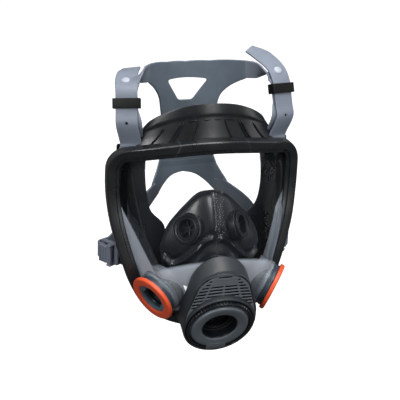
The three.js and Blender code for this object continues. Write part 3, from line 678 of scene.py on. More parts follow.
# ---- loops that the mask is built on
def even_top(points, rounds):
    """The ring's edge with the waves of its top stretch taken out."""
    top = np.clip((66 - np.abs(points[:, 0])) / 10, 0, 1) * (points[:, 2] > 0)
    for _ in range(rounds):
        points = points + top[:, None] * (smoothed(points, 1) - points)
    return points


ring_edge = even_top(smoothed(loop(RING_EDGE), 6), 90)
ring_inward = unit(np.cross(np.roll(ring_edge, -1, 0) - np.roll(ring_edge, 1, 0), (0, 1, 0)))
ring_inward *= np.sign((ring_inward * ((0, 0, -10) - ring_edge)).sum(1))[:, None]


def on_ring(a, b):
    """The ring's section: a inward from the outer edge, b back from the front."""
    return ring_edge + ring_inward * a + (0, b, 0)


# ---- lens ring and bridge
def ring_loft(name, grow=0.0):
    width, depth, lip, wall = (RING[k] for k in ("width", "depth", "lip", "wall"))
    corners = [
        (-grow, -grow), (7.8, -grow), (8.4, 1.4), (11.3, 1.7), (width, 2.3), (width, lip), (wall, lip),
        (wall, depth), (-grow, depth),
    ]
    cuts = (1.7, 0.7, 0.4, 0.4, 0.5, 0.4, 0.5, 0.8, 1.0)
    section = fillet([(a, b) for a, b in corners], cuts, 6)
    rows = [on_ring(a, b) for a, b in section]
    return lofted(name, np.transpose(rows, (1, 0, 2)), joined=True)


def bridge_wedge(grow):
    outline = [(-26 - grow, 90), (26 + grow, 90), (37 + grow, 60), (-37 - grow, 60)]
    rows = [[(x, y, z) for x, z in outline] for y in (-60, 0)]
    return lofted("wedge", rows)


def make_ring():
    ring = cut(ring_loft("lens_ring_form"), bridge_wedge(0.3))
    place(ring, "mask", ["lens_ring"], RING_BLACK)
    bridge = combine(ring_loft("lens_ring_bridge_form", 0.2), bridge_wedge(-0.3), "INTERSECT")
    place(bridge, "mask", ["lens_ring_bridge"], RING_BLACK)
    # A thin lighter grey strip fills each gap between ring and bridge: a painted highlight where the cut
    # edges would catch light.
    parting_highlight = combine(ring_loft("lens_ring_seam_highlight_form", -0.05), bridge_wedge(0.29), "INTERSECT")
    cut(parting_highlight, bridge_wedge(-0.29))
    place(parting_highlight, "mask", ["lens_ring_bridge"], SEAM_HIGHLIGHT_GREY)


# ---- lens
def soft_least(*depths):
    soft = 1.6                          # millimetres over which two faces of the lens blend
    return -soft * np.log(sum(np.exp(-d / soft) for d in depths))


def lens_depth(x, z):
    """How far the lens stands in front of the cheek plane."""
    wide = np.abs(x)
    front = 48 + 0.26 * (80 - z) - 0.0045 * x * x
    side = 132.85 - 1.268 * wide - 0.025 * z
    crease = -25 - 0.0032 * x * x
    chin = 75.3 - 0.0037 * x * x - 0.16 * (crease - z)
    bottom = 46 + 0.95 * (z + 100) - 0.002 * x * x
    ax, ay, az = SIDE_AXIS
    px, py, pz = np.array(SIDE_AT) - np.array(SIDE_AXIS) * SEAT_BACK
    seat = -py + (ax * (px - wide) + az * (pz - z)) / -ay
    return soft_least(front, side, chin, bottom, seat)


def lens_rows(grow, steps=56):
    """Loops over the lens from its foot at the ring to its middle."""
    foot = on_ring(RING["width"] + 1.6 - grow, 0)
    rows = []
    for t in 0.015 + 0.965 * np.linspace(0, 1, steps) ** 1.25:
        x = foot[:, 0] * (1 - t)
        z = foot[:, 2] + (-20 - foot[:, 2]) * t
        steep = 4 - foot[:, 1] + 2.6 * t * np.hypot(foot[:, 0], foot[:, 2] + 20)
        rows.append(np.stack([x, -soft_least(lens_depth(x, z), steep) - grow, z], 1))
    return rows


def lens_outside(name, grow):
    """A solid of everything behind the lens's outer face, grown outwards."""
    back = [on_ring(a, b) for a, b in ((RING["width"], 40), (RING["wall"], 40), (RING["wall"], 4.3 - grow),
                                       (RING["width"] + 1.2 - grow, 4.3 - grow))]
    return lofted(name, back + lens_rows(grow))


def make_lens():
    front = RING["lip"] + GAP
    back = front + LENS_THICK
    edge = fillet([(13.2, front), (3.8, front), (3.8, back), (16.2, back)], 0.4, 2, closed=False)
    flange = [on_ring(a, b) for a, b in edge]
    lens = lofted("lens_form", lens_rows(0)[::-1] + flange + lens_rows(-LENS_THICK))
    port = frame_at(SIDE_AT, SIDE_AXIS)
    boss = turned("boss", [(18.7, -16.5), (21.5, -16.5), (21.5, -SEAT_BACK), (18.7, -SEAT_BACK)], port)
    bore = turned("bore", [(0, -40), (19, -40), (19, 5), (0, 5)], port)
    for tool, operation in ((boss, "UNION"), (bore, "DIFFERENCE")):
        combine_both(lens, tool, operation)
    neck = turned("neck", [(0, -60), (20.8, -60), (20.8, 60), (0, 60)],
                  frame_at(NECK["at"], tilted(NECK["tilt"])))
    cut(lens, neck)
    place(lens, "mask", ["lens"], LENS, 30)


# ---- rubber facepiece
def facepiece_sections():
    rim, lip = loop(RIM), loop(LIP)
    out = -ring_inward
    bead = RING["lip"] + 2 * GAP + LENS_THICK
    shoulder = on_ring(RING["wall"] + GAP, RING["depth"] + 1)
    inside = on_ring(RING["width"] - 0.5, RING["depth"] + 1)
    lip_front = lip + (0, -1.6, 0)
    to_inside = unit(inside - rim)
    fold = unit(unit(lip_front - rim) + to_inside)
    half = np.arccos(np.clip((fold * to_inside).sum(1), -0.99, 0.99))
    pocket = rim + fold * np.minimum(7, RUBBER_THICK / np.sin(half))[:, None]
    rim_foot = rim + (shoulder - rim) * 0.3
    hollow = (shoulder + rim_foot) / 2 - out * 1.2
    corners = [
        on_ring(RING["wall"] + GAP, bead), shoulder, hollow, rim_foot, rim_foot + out * 2.9,
        rim + out * 3.1, rim + (0, 1.5, 0), lip + (0, 0.4, 0), lip_front, pocket, inside,
        on_ring(RING["width"] - 0.5, bead),
    ]
    cuts = (0.6, 2.0, 9.0, 1.2, 1.6, 2.0, 2.0, 0.9, 0.9, 2.0, 2.0, 0.6)
    return np.array([fillet(section, cuts, 5) for section in np.transpose(corners, (1, 0, 2))]), \
        (shoulder, hollow, rim_foot)


def panel_path(surface, x_rim, x_ring, steps=24):
    """Points on the forehead panel from its rim to the ring, with x changing evenly."""
    top = np.where(surface[0][:, 2] > 60)[0]
    top = top[np.argsort(surface[0][top, 0])]
    points = []
    for s in np.linspace(0.06, 0.97, steps):
        knots = np.stack([part[top] for part in surface[::-1]])
        row = spline(knots.reshape(3, -1), [s])[0].reshape(-1, 3)
        x = x_rim + (x_ring - x_rim) * s
        points.append([np.interp(x, row[:, 0], row[:, k]) for k in range(3)])
    return np.array(points)


def raised_line(name, path, wide, high, normal):
    """A half-round raised line on a surface, along a path."""
    along = unit(np.gradient(path, axis=0))
    side = unit(np.cross(along, normal))
    up = np.cross(side, along)
    angle = np.linspace(0, 2 * math.pi, 12, endpoint=False)
    section = np.stack([np.cos(angle) * wide / 2, np.sin(angle) * high], 1)
    taper = np.minimum(1, np.minimum(np.arange(len(path)), np.arange(len(path))[::-1]) / 3 + 0.15)
    rows = [p + np.outer(section[:, 0], s) * k + np.outer(section[:, 1], u) * k
            for p, s, u, k in zip(path, side, up, taper)]
    return lofted(name, rows)


RIBS = [(10.7, 20.2), (24.0, 37.0), (26.4, 40.4), (39.5, 56.5)]      # x at the rim and at the ring


def make_facepiece():
    sections, surface = facepiece_sections()
    parts = [lofted("shell", sections, joined=True)]
    normal = np.array([0, -0.75, 0.66])
    for x_rim, x_ring in RIBS:
        for side in (-1, 1):
            path = panel_path(surface, side * x_rim, side * x_ring)
            parts.append(raised_line("rib", path, 1.7, 1.5, normal + (side * x_rim * 0.01, 0, 0)))
    for x0, x1 in ((-8, -1.5), (1.5, 8), (12.5, 22.5), (-22.5, -12.5)):
        lines = [panel_path(surface, x, x)[1] for x in np.linspace(x0, x1, 12)]
        parts.append(raised_line("line", np.array(lines), 1.3, 1.1, normal))
    parts += make_lugs()
    place(join_meshes("facepiece_form", parts), "mask", ["facepiece"], RUBBER, 45)


def make_lugs():
    cheek = box("cheek_lug", (-20, -11.7), (-8, 8), (-1.5, 1.5), CHEEK_FRAME, 0.7, 3)
    temple = box("temple_lug", (-11, 11), (-9, -3.3), (-3.4, 3.4), TEMPLE_FRAME, 1.0, 3)
    cut(temple, box("slot", (-13.6, 13.6), (-7.2, -3.0), (-1.5, 1.5), TEMPLE_FRAME, 0))
    return [cheek, mirrored(cheek, "cheek_lug_left"), temple, mirrored(temple, "temple_lug_left")]


# ---- nose cup
# The fold that sweeps down from the bridge and round each cheek of the cup, in front view: [x, z].
CHEEK_FOLD = [(5, -9), (13, -14), (22, -24), (31, -33), (39, -36), (44, -31)]


def cup_relief(points):
    """How far the cup's outer face stands proud: the bridge ridge and the two cheek folds."""
    x, z = np.abs(points[..., 0]), points[..., 2]
    path = spline(CHEEK_FOLD, np.linspace(0, 1, 60))
    reach = np.min(np.hypot(x[..., None] - path[:, 0], z[..., None] - path[:, 1]), axis=-1)
    fold = 2.6 * np.exp(-(reach / 1.9) ** 2) - 1.5 * np.exp(-((reach - 4.2) / 2.2) ** 2)
    ridge = 2.4 * np.exp(-(x / 4.6) ** 2) * np.clip((z + 16) / 10, 0, 1)
    return fold + ridge


def make_nose_cup():
    count = 168
    edge, belly, shoulder = (loop(s, count) for s in (CUP_EDGE, CUP_BELLY, CUP_SHOULDER))
    pose = frame_at(NECK["at"], tilted(NECK["tilt"]))
    angle = np.arange(count) * 2 * math.pi / count

    def collar(r, height):
        return put(np.stack([r * np.sin(angle), r * np.cos(angle), np.full(count, height)], 1), pose)

    def inset(row):
        inward = unit((0, 0, -25) - row * (1, 0, 1)) * CUP_THICK
        return row + inward + (0, CUP_THICK * 0.8, 0)

    steps = 44
    at = np.linspace(0, 1, steps)
    outer = np.transpose([spline(k, at) for k in
                          np.transpose([edge, belly, shoulder, collar(22.5, -12)], (1, 0, 2))], (1, 0, 2))
    inner = np.transpose([spline(k, at) for k in
                          np.transpose([inset(edge), inset(belly), inset(shoulder), collar(16.5, -12)],
                                       (1, 0, 2))], (1, 0, 2))
    across = np.gradient(outer, axis=0)
    round_ = np.roll(outer, -1, 1) - np.roll(outer, 1, 1)
    normal = unit(np.cross(round_, across))
    normal *= np.sign((normal * (outer - (0, 0, -25))).sum(-1))[..., None]
    fade = np.sin(at * math.pi) ** 0.5
    outer = outer + normal * (cup_relief(outer) * fade[:, None])[..., None]
    lip = fillet([(22.5, -9.5), (22.5, -8), (16.5, -8), (16.5, -9.5)], 0.5, 3, closed=False)
    rows = [*outer, *[collar(r, h) for r, h in lip], *inner[::-1]]
    cup = lofted("nose_cup_form", np.transpose(rows, (1, 0, 2)), joined=True)
    valve = frame_at(NOSE_VALVE_AT, NOSE_VALVE_AXIS)
    boss = turned("boss", [(0, -8.3), (14.5, -8.3), (14.5, -1.2), (0, -1.2)], valve, soft=0.8)
    room = turned("room", [(0, -20), (10.3, -20), (10.3, -1.3), (13.3, -1.3), (13.3, 20), (0, 20)], valve,
                  soft=0)
    for tool, operation in ((boss, "UNION"), (room, "DIFFERENCE")):
        combine_both(cup, tool, operation)
    place(cup, "mask", ["nose_cup"], CUP_RUBBER, 40)
    make_nose_valves(valve)


def spider(name, pose, reach, hub, low, high):
    """Three crossing spokes and a hub that hold a valve disc."""
    parts = [turned("hub", [(0, low), (hub, low), (hub, high + 0.3), (0, high + 0.3)], pose, 32)]
    for turn in (0, 60, 120):
        parts.append(box("spoke", (-reach, reach), (-0.8, 0.8), (low, high), spun(pose, turn), 0.25))
    return parts


def make_nose_valves(pose):
    ring = turned("ring", [(8.6, -5.6), (10, -5.6), (10, -1), (13, -1), (13, 0.6), (11.6, 0.6),
                           (11.2, 0.1), (10.4, 0.1), (10, 0.6), (8.6, 0.6)], pose, soft=0.25)
    seat = join_meshes("seat", [ring, *spider("spider", pose, 8.9, 2.6, -5, -3)])
    place_pair(seat, "nose_cup_valve_seat", SOCKET)
    disc = turned("disc", [(0, -6.9), (9.2, -6.9), (9.4, -6.2), (0, -5.9)], pose, 64, 0.2)
    place_pair(disc, "nose_cup_valve_disc", DARK_SILICONE, moving=True)


# ---- side ports
def make_side_ports():
    pose = frame_at(SIDE_AT, SIDE_AXIS)
    body = turned("body", [
        (12.5, -19.5), (18.7, -19.5), (18.7, 0.3 - SEAT_BACK), (20.5, 0.3 - SEAT_BACK), (20.5, -7.9),
        (19.9, -7.5), (19.9, -6.6), (20.5, -6.2), (20.5, -4.3), (12.5, -4.3),
    ], pose, 128, 0.3)
    place_pair(join_meshes("side_port", [body, *spider("spider", pose, 13, 2.4, -14, -12.5)]),
               "side_port_body", PORT_DARK)
    # The lip ring and two lugs: the lugs' light blue is their own colour, and the ring's light tone at the
    # bore's mouth is a painted highlight along the rim.
    parts = [turned("lip", [(12.5, -4.2), (14.6, -4.2), (14.6, -1.5), (12.5, -1.5)], pose, 128, 0.3)]
    for turn in (35, 215):
        parts.append(box("lug", (10.1, 12.9), (-2.9, 2.9), (-4.1, -2.1), spun(pose, turn), 0.3))
    place_pair(join_meshes("lip", parts), "side_port_lip", LUG_BLUE_AND_RIM_HIGHLIGHT, stands_for="side_port_body")
    ring = turned("ring", [
        (14.9, -4), (22.6, -4), (23, -3.4), (23, -0.9), (22.2, 0), (15.9, 0), (15.5, -0.6), (14.9, -0.6),
    ], pose, 128, 0.35)
    place_pair(ring, "bayonet_ring", ORANGE)
    gasket = turned("gasket", [(9.6, -8), (12.2, -8), (12.2, -5.2), (9.6, -5.2)], pose, 96, 0.9)
    place_pair(gasket, "side_port_gasket", RUBBER)
    disc = turned("disc", [(0, -15.4), (11.4, -15.4), (11.6, -14.7), (0, -14.3)], pose, 64, 0.2)
    place_pair(disc, "side_valve_disc", SILICONE, moving=True)
    collar = turned("collar", [(19, -24.5), (21.5, -24.5), (21.5, -12.9), (19, -12.9)], pose, 96, 0.4)
    place_pair(collar, "side_port_clamp", CLAMP)


# ---- front housing
PORT = frame_at(PORT_AT, tilted(PORT_TILT))
GRILLE_POSE = frame_at(GRILLE_AT, tilted(GRILLE_TILT))
# The cup's rim, in the port's own frame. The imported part's rim is level. Here it leans, in degrees.
CUP_RIM = {"height": -1, "lean": 3.4}


def housing_outline(inset):
    """The housing seen from the front: x and z."""
    angle = np.linspace(0.15, math.pi - 0.15, 60)
    r = 27.2 - inset
    arch = np.stack([r * np.cos(angle), -46.6 + r * np.sin(angle)], 1)
    foot = [(-34.5 + inset, -72), (-34.5 + inset, -88 + inset), (34.5 - inset, -88 + inset),
            (34.5 - inset, -72)]
    return fillet(np.vstack([arch, foot]), [0] * 60 + [6, 3, 3, 6], 5)


def lowered(z, share):
    """Heights with what is above the housing's foot brought down."""
    return np.where(z > DRAFT["foot"], DRAFT["foot"] + (z - DRAFT["foot"]) * share, z)


def housing_slab(name, inset, near, low, high):
    """The housing's outline pushed forward with its top sloping down, between two heights over its face."""
    x, z = housing_outline(inset).T
    steps = ((near, 1), (DRAFT["from"], 1), (DRAFT["edge"], DRAFT["scale"]), (FAR, DRAFT["last"]))
    slab = lofted(name, [np.stack([x, np.full(len(x), -depth), lowered(z, share)], 1)
                         for depth, share in steps])
    return combine(slab, box("limits", (-FAR, FAR), (-FAR, FAR), (low, high), GRILLE_POSE, 0), "INTERSECT")


def make_housing():
    body = housing_slab("front_housing_form", 0, 42, -FAR, -0.2)
    cut(body, housing_slab("pocket", 5, 60, -11, 10))
    cut(body, housing_slab("recess", 1.8, 60, -3.3, 10))
    fuse(body, leaning_cup())
    cut(body, lens_outside("lens_room", GAP))
    neck = turned("neck", [(0, -7.5), (20.5, -7.5), (20.5, 6), (0, 6)],
                  frame_at(NECK["at"], tilted(NECK["tilt"])), 128, 0.4)
    fuse(body, neck)
    side = frame_at(SIDE_AT, SIDE_AXIS)
    room = turned("room", [(0, -34), (22, -34), (22, -SEAT_BACK), (0, -SEAT_BACK)], side)
    combine_both(body, room, "DIFFERENCE")
    cut(body, turned("ring_room", [(0, -9), (31.8, -9), (31.8, 3), (0, 3)], PORT, 160, 0))
    cut(body, turned("bore", [(0, -60), (15.9, -60), (15.9, 0), (0, 0)], PORT, 96, 0))
    for sign in (-1, 1):
        cut(body, turned("chamber", [(0, 40), (7.2, 40), (7.2, 76), (10.1, 76), (10.1, FAR), (0, FAR)],
                         chamber_pose(sign), 64, 0))
    soften(body, 0.5, 12)
    place(body, "mask", ["front_housing"], HOUSING, 60)
    make_grille()
    make_chamber_parts()


def leaning_cup():
    """The solid that the front port's cup is cut from. Its rim is low at the top and high at the chin."""
    slope = math.tan(math.radians(CUP_RIM["lean"]))
    rim = CUP_RIM["height"]
    angle = np.arange(160) * 2 * math.pi / 160
    rows = []
    profile = [(0.5, -32, 0), (34, -32, 0), (34, rim - 0.8, slope), (33.2, rim, slope), (0.5, rim, slope)]
    for r, height, lean in profile:
        x, y = r * np.cos(angle), r * np.sin(angle)
        rows.append(put(np.stack([x, y, height - lean * y], 1), PORT))
    return lofted("cup", rows)


def chamber_pose(sign):
    """The pose whose own +Z looks forward along the middle of a chamber."""
    return pose_of((1, 0, 0), (0, 0, 1), (0, -1, 0), (sign * CHAMBER["x"], 0, CHAMBER["z"]))


def slot_outline(x0, x1, y, tall, bow):
    """A slot with round ends that follows a shallow arch."""
    r = tall / 2
    xs = np.linspace(x0 + r, x1 - r, 8)
    lift = lambda x: y - bow * x * x
    right = [(x1 - r + r * math.sin(a), lift(x1) + r * math.cos(a)) for a in np.linspace(0, math.pi, 7)]
    left = [(x0 + r - r * math.sin(a), lift(x0) - r * math.cos(a)) for a in np.linspace(0, math.pi, 7)]
    top = [(x, lift(x) + r) for x in xs[1:-1]]
    bottom = [(x, lift(x) - r) for x in xs[-2:0:-1]]
    return np.array(top + right + bottom + left)


# The rows of slots: how many, how far apart, how tall, the rib between columns and the first row's height.
SLOTS = {"rows": 9, "pitch": 3.45, "tall": 2.0, "rib": 1.5, "top": 7.9}


def make_grille():
    x, z = housing_outline(2.1).T
    height = (lowered(z, 0.82) - GRILLE_AT[2]) / math.cos(math.radians(GRILLE_TILT))
    outlines = [np.stack([x, height], 1)]
    rib = SLOTS["rib"]
    for row in range(SLOTS["rows"]):
        y = SLOTS["top"] - row * SLOTS["pitch"]
        split = 13.4 - 0.294 * y            # middle of the rib between the columns
        half = 29.2 * math.sqrt(1 - ((y + 24) / 35.5) ** 2)
        columns = [(split + rib / 2, max(half, split + 3.6))]
        if row > 1:
            columns.append((rib / 2, split - rib / 2))
        for x0, x1 in columns:
            slot = slot_outline(x0, x1, y, SLOTS["tall"], 0.0015)
            outlines += [slot, (slot * (-1, 1))[::-1]]
    outlines.append(slot_outline(-6.5, 6.5, 11.6, 2, 0.002))
    cover = plate("grille_cover_form", outlines, -0.8, -0.1, GRILLE_POSE, 0.15)
    # The sheet just behind the cover is painted shade: near-black and matte, it darkens the slots where the
    # pocket behind them would show lit.
    shade_sheet = plate("grille_shade_sheet_form", outlines[:1], -2.1, -1.4, GRILLE_POSE, 0.2)
    for piece, material in ((cover, GRILLE), (shade_sheet, SHADE_SHEET)):
        cut(piece, turned("cup_room", [(0, -40), (34.3, -40), (34.3, 40), (0, 40)], PORT, 160, 0))
        place(piece, "mask", ["grille_cover"], material, 40)


def make_chamber_parts():
    turned_piece("speaking_diaphragm", [(0, 76.3), (9.8, 76.3), (9.8, 77), (0, 76.8)], chamber_pose(-1),
                 FILM, 0.1)
    turned_piece("diaphragm_ring", [(7.6, 77.3), (9.8, 77.3), (9.8, 80), (7.6, 80)], chamber_pose(-1),
                 HOUSING)
    turned_piece("exhalation_valve_disc", [(0, 76.3), (9.4, 76.3), (9.4, 77.1), (0, 77.4)], chamber_pose(1),
                 SILICONE, 0.2, "exhalation_valve_disc")


# ---- front port
def make_front_port():
    teeth = 60
    angle = np.arange(teeth * 4) * math.pi / (teeth * 2)
    crest = np.where(np.arange(teeth * 4) % 4 < 2, 31.3, 30.5)
    outer = np.stack([crest * np.cos(angle), crest * np.sin(angle)], 1)
    turn = np.arange(160) * 2 * math.pi / 160
    inner = np.stack([28.7 * np.cos(turn), 28.7 * np.sin(turn)], 1)
    ring = plate("front_port_ring_form", [outer, inner[::-1]], -8.6, 0.2, PORT, 0.25)
    place(ring, "front_port_ring", ["front_port_ring"], SOCKET, 30)
    insert = turned("front_port_insert_form", [
        (16.8, -8.6), (28.4, -8.6), (28.4, -1.6), (27.2, -1.6), (26.2, 1.6), (23.4, 1.9), (18.2, 1.2),
        (16.8, 0.2),
    ], PORT, 160, 0.6)
    liner = turned("front_port_liner_form", [(15.9, -8.6), (16.7, -8.6), (16.7, 0.1), (15.9, -0.4)],
                   PORT, 128)
    place(liner, "mask", ["front_port_insert"], SOCKET)
    tab = box("tab", (-9.2, 9.2), (-29.5, -22), (0.4, 2.0), PORT, 0.35)
    place(join_meshes("front_port_insert_form", [insert, tab]), "mask", ["front_port_insert"], DISC)
    turned_piece("front_port_gasket", [(12, -11.5), (15.6, -11.5), (15.6, -9.3), (12, -9.3)], PORT,
                 RUBBER, 0.7)
    seat = turned("seat", [(12.6, -14.5), (15.6, -14.5), (15.6, -11.8), (12.6, -11.8)], PORT, 96, 0.3)
    seat = join_meshes("front_valve_seat_form", [seat, *spider("spider", PORT, 14, 2.5, -14.2, -12.8)])
    place(seat, "mask", ["front_valve_seat"], SOCKET)
    turned_piece("front_valve_disc", [(0, -15.9), (14.2, -15.9), (14.4, -15.2), (0, -14.9)], PORT,
                 DARK_SILICONE, 0.2, "front_valve_disc")


# ---- head harness
PLATE = {"back": 58, "bend": 0.0196}
STRAP = {"width": 19.5, "thick": 2}


def plate_back(x):
    return PLATE["back"] - PLATE["bend"] * x * x


def make_harness_plate():
    arm = [(0, 124.5), (20, 126.5), (46, 134)]
    flank = spline([(46, 117), (36, 106), (29.5, 95), (27, 83), (24, 60), (25, 42), (28, 27), (37, 10)],
                   np.linspace(0, 1, 40))
    arch = spline([(28, -3), (21, 4), (12, 10), (0, 12.5)], np.linspace(0, 1, 14))
    half = np.vstack([arm, flank, arch])
    left = half[-2:0:-1] * (-1, 1)
    hole = fillet([(-19.5, 108.5), (-6.5, 86.5), (6.5, 86.5), (19.5, 108.5)], 3, 4)
    obj = plate("harness_plate_form", [np.vstack([half, left]), hole], 0, STRAP["thick"], np.eye(4), 0.7, 3)
    bm = bmesh.new()
    bm.from_mesh(obj.data)
    for axis, low, high in ((0, -48, 48), (1, -4, 136)):
        for at in np.arange(low, high, 3):
            spot = [0, 0, 0]
            spot[axis] = at * MM
            normal = [0, 0, 0]
            normal[axis] = 1
            bmesh.ops.bisect_plane(bm, geom=bm.verts[:] + bm.edges[:] + bm.faces[:], dist=1e-7,
                                   plane_co=spot, plane_no=normal)
    for v in bm.verts:
        x, height, out = (c / MM for c in v.co)
        across = unit([1, -2 * PLATE["bend"] * x, 0])
        v.co = np.array([x - out * across[1], plate_back(x) + out * across[0], height]) * MM
    bmesh.ops.recalc_face_normals(bm, faces=bm.faces)
    bm.to_mesh(obj.data)
    bm.free()
    place(obj, "mask", ["harness_plate"], PLATE_GREY, 50)


def ribbon(name, knots, steps, thick=STRAP["thick"]):
    """A flat strap with round edges. Each knot is (at, across, width)."""
    at = np.linspace(0, 1, steps)
    path = spline([k[0] for k in knots], at)
    along = unit(np.gradient(path, axis=0))
    across = spline([unit(k[1]) for k in knots], at)
    wide = spline([(k[2], 0.0) for k in knots], at)[:, 0]
    side = unit(across - (across * along).sum(1)[:, None] * along)
    normal = np.cross(side, along)
    corners = np.array([(1, 1), (-1, 1), (-1, -1), (1, -1)]) * (0.5, thick / 2)
    rows = []
    for p, s, n, w in zip(path, side, normal, wide):
        section = fillet(corners * (w, 1), 0.75, 3)
        rows.append(p + np.outer(section[:, 0], s) + np.outer(section[:, 1], n))
    return lofted(name, rows), path, side, normal


STRAP_OUT = (0.326, -0.945, 0)
STRAP_ACROSS = (0.945, 0.326, 0)
STRETCH = {"low": (74.4, -18.3, 90), "high": (72.8, -8, 118)}
LAYER_STEP = 3
TAIL = {
    "left": [((59.5, 31, 127), (0.985, 0.1, -0.17), 17), ((66, 17, 127), (0.97, 0.2, -0.12), 19.5),
             ((70.4, 5, 123.4), (0.95, 0.3, -0.05), 19.5)],
    "right": [((51.5, 27, 142.5), (0.8, 0.55, 0.25), 12), ((63, 15, 137), (0.85, 0.45, 0.15), 19.5),
              ((70.8, 2, 128.6), (0.9, 0.35, 0.05), 19.5)],
}
LEAN = [3.5, 0.4, 0, 0]            # how far inwards the back layer leans, from its foot up
TEMPLE_FRAME = frame_at((68.5, -11, 63.2), STRAP_OUT)


def temple_strap(name):
    low, high = np.array(STRETCH["low"]), np.array(STRETCH["high"])
    stretch = [low + (high - low) * t for t in (1, 0.66, 0.33, 0)]
    behind = [p - np.array(STRAP_OUT) * LAYER_STEP - np.array(STRAP_ACROSS) * lean
              for p, lean in zip(stretch[::-1], LEAN)]
    bend = [(2.9, 7), (3.1, 3.7), (2.2, 1.5), (0, 0.6), (-2.2, 1.5), (-3.1, 3.7), (-2.9, 7)]
    around = [put([(0, up, out)], TEMPLE_FRAME)[0] for out, up in bend]
    knots = [*TAIL[name], *[(p, STRAP_ACROSS, STRAP["width"]) for p in [*stretch, *around, *behind]]]
    knots += [((67.5, 1.2, 122.6), (0.93, 0.36, -0.05), 19.5), ((60, 5.5, 125.6), (0.66, 0.5, -0.55), 18),
              ((53.2, 10, 126.6), (0.2, 0.2, -0.95), 17), ((46.4, 17.8, 125.5), (0, 0, -1), 16.5)]
    strap, path, across, normal = ribbon("strap", knots, 260)
    at_hole = hole_pose(path, normal)
    cut(strap, turned("hole", [(0, -0.4), (1.35, -0.4), (1.35, 3), (0, 3)], at_hole, 32, 0))
    # A solid black disc fills the middle of the hole: painted shade, so that the hole reads dark.
    hole_shade = turned("hole_shade", [(0, -0.39), (1.34, -0.39), (1.34, 0.05), (0, 0.05)], at_hole, 32, 0.1)
    stud = strap_stud(path, across, normal)
    pieces = [(strap, "temple_strap", STRAP_GREY), (stud, "strap_stud", STUD_GREY),
              (hole_shade, "strap_hole_shade", KEEPER_BLACK)]
    for piece, piece_name, material in pieces:
        piece = on_side(piece, name)
        piece.name = f"{piece_name}_{name}_form"
        place(piece, "mask", [f"temple_strap_{name}"], material, 50)


def hole_pose(path, normal):
    """Where the strap's front layer has its hole, facing out."""
    i = int(np.argmin(np.linalg.norm(path[:130] - np.array(STRETCH["low"]) - (0, 0, 1), axis=1)))
    return frame_at(path[i], normal[i] * np.sign(normal[i] @ np.array(STRAP_OUT)))


def strap_stud(path, across, normal):
    """The round stud near the strap's free end."""
    i = int(np.argmin(np.linalg.norm(path[:60] - np.array((70.5, 3, 125.6)), axis=1)))
    out = normal[i] * np.sign(normal[i] @ np.array(STRAP_OUT))
    return turned("stud", [(0, 0.6), (4, 0.6), (3.9, 1.5), (2.6, 2.3), (0, 2.6)],
                  frame_at(path[i], out, across[i]), 48, 0.7)


KEEPER_UP = {"left": 0.6, "right": 0.84}       # share of the way up the strap's straight part


def make_keepers():
    low, high = np.array(STRETCH["low"]), np.array(STRETCH["high"])
    along = unit(high - low)
    out = np.array(STRAP_OUT)
    facing = unit(out - along * (out @ along))
    outer = rounded((-12.4, 12.4), (-4.6, 4.6), 1.6, 5)
    inner = rounded((-10.7, 10.7), (-3.4, 3.4), 0.9, 5)
    turn = pose_of((1, 0, 0), (0, 0, 1), (0, -1, 0), (0, 0, 0))
    for side, up in KEEPER_UP.items():
        pose = frame_at(low + (high - low) * up - out * LAYER_STEP / 2, facing, along)
        ring = on_side(plate("keeper", [outer, inner[::-1]], -4.5, 4.5, pose @ turn, 0.5, 3), side)
        ring.name = f"keeper_{side}_form"
        place(ring, f"keeper_{side}", [f"keeper_{side}"], KEEPER_BLACK)


def make_temple_buckles():
    outer = rounded((-13.2, 13.2), (-7, 5), 2, 4)
    inner = rounded((-10.4, 10.4), (-3.5, 2.4), 1, 4)
    frame_plate = plate("buckle", [outer, inner[::-1]], -1.3, 1.3, TEMPLE_FRAME, 0.4)
    place_pair(frame_plate, "temple_buckle", KEEPER_BLACK)


CHEEK_FRAME = frame_at((84, 3, -42.5), (0.83, -0.56, 0))
HINGE = {"x": -5, "z": 6.4}


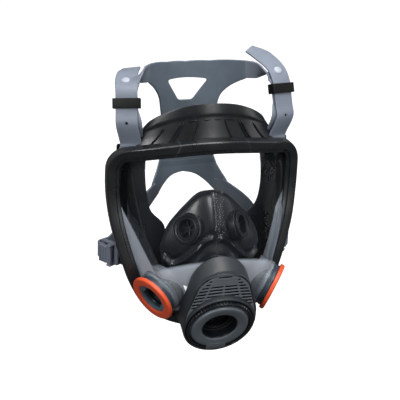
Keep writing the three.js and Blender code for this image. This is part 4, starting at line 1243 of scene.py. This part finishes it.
def make_cheek_buckles():
    turn = pose_of((1, 0, 0), (0, 0, -1), (0, 1, 0), (HINGE["x"], 0, HINGE["z"]))
    pin_pose = CHEEK_FRAME @ turn
    outer = rounded((-11, 10), (-10.8, 10.8), 2, 4)
    inner = rounded((-4, 6.5), (-8.5, 8.5), 0.8, 4)
    parts = [plate("frame", [outer, inner[::-1]], -2, 2, CHEEK_FRAME, 0.5, 3)]
    for y0, y1 in ((-10.8, -8.8), (8.8, 10.8)):
        ear = box("ear", (HINGE["x"] - 2.6, HINGE["x"] + 2.6), (y0, y1), (1, HINGE["z"] + 2.2),
                  CHEEK_FRAME, 0.6, 3)
        parts.append(ear)
    place_pair(join_meshes("buckle", parts), "cheek_buckle", BUCKLE_GREY)
    pin = turned("pin", [(0, -10.6), (1.2, -10.6), (1.2, 10.6), (0, 10.6)], pin_pose, 32, 0.3)
    place_pair(pin, "cheek_buckle_pin", STEEL)
    lever = [box("lever", (-7.5, 7), (-8.5, 8.5), (4.7, 8.1), CHEEK_FRAME, 0.7, 3)]
    for x in (-1, 2.5, 6):
        lever.append(box("rib", (x - 0.8, x + 0.8), (-8.3, 8.3), (7.6, 9.1), CHEEK_FRAME, 0.5, 3))
    place_pair(join_meshes("lever", lever), "cheek_buckle_lever", BUCKLE_GREY, moving=True)


def make_cheek_straps():
    over = [(put([(x, 0, z)], CHEEK_FRAME)[0], (0, 0, 1), 15.5)
            for x, z in ((13.5, 2.2), (9.5, 3.4), (5, 3.35), (-1, 3.35))]
    knots = [
        ((31.6, plate_back(31.6) - 0.4, 4.6), (0.46, -0.58, 0.67), 17.5),
        ((52, 27, -13), (0.4, -0.3, 0.86), 19.5),
        ((66, 27.5, -32), (0.3, -0.2, 0.93), 16.5),
        ((80, 24, -43), (0.1, -0.1, 0.99), 15.5),
        ((89, 19, -43.5), (0, 0, 1), 15.5),
        *over,
    ]
    strap, *_ = ribbon("strap", knots, 110)
    place_pair(strap, "cheek_strap", STRAP_GREY)


make_camera()
make_studio()
make_ring()
make_lens()
make_facepiece()
make_nose_cup()
make_side_ports()
make_housing()
make_front_port()
make_harness_plate()
temple_strap("left")
temple_strap("right")
make_keepers()
make_temple_buckles()
make_cheek_buckles()
make_cheek_straps()

bpy.context.view_layer.update()
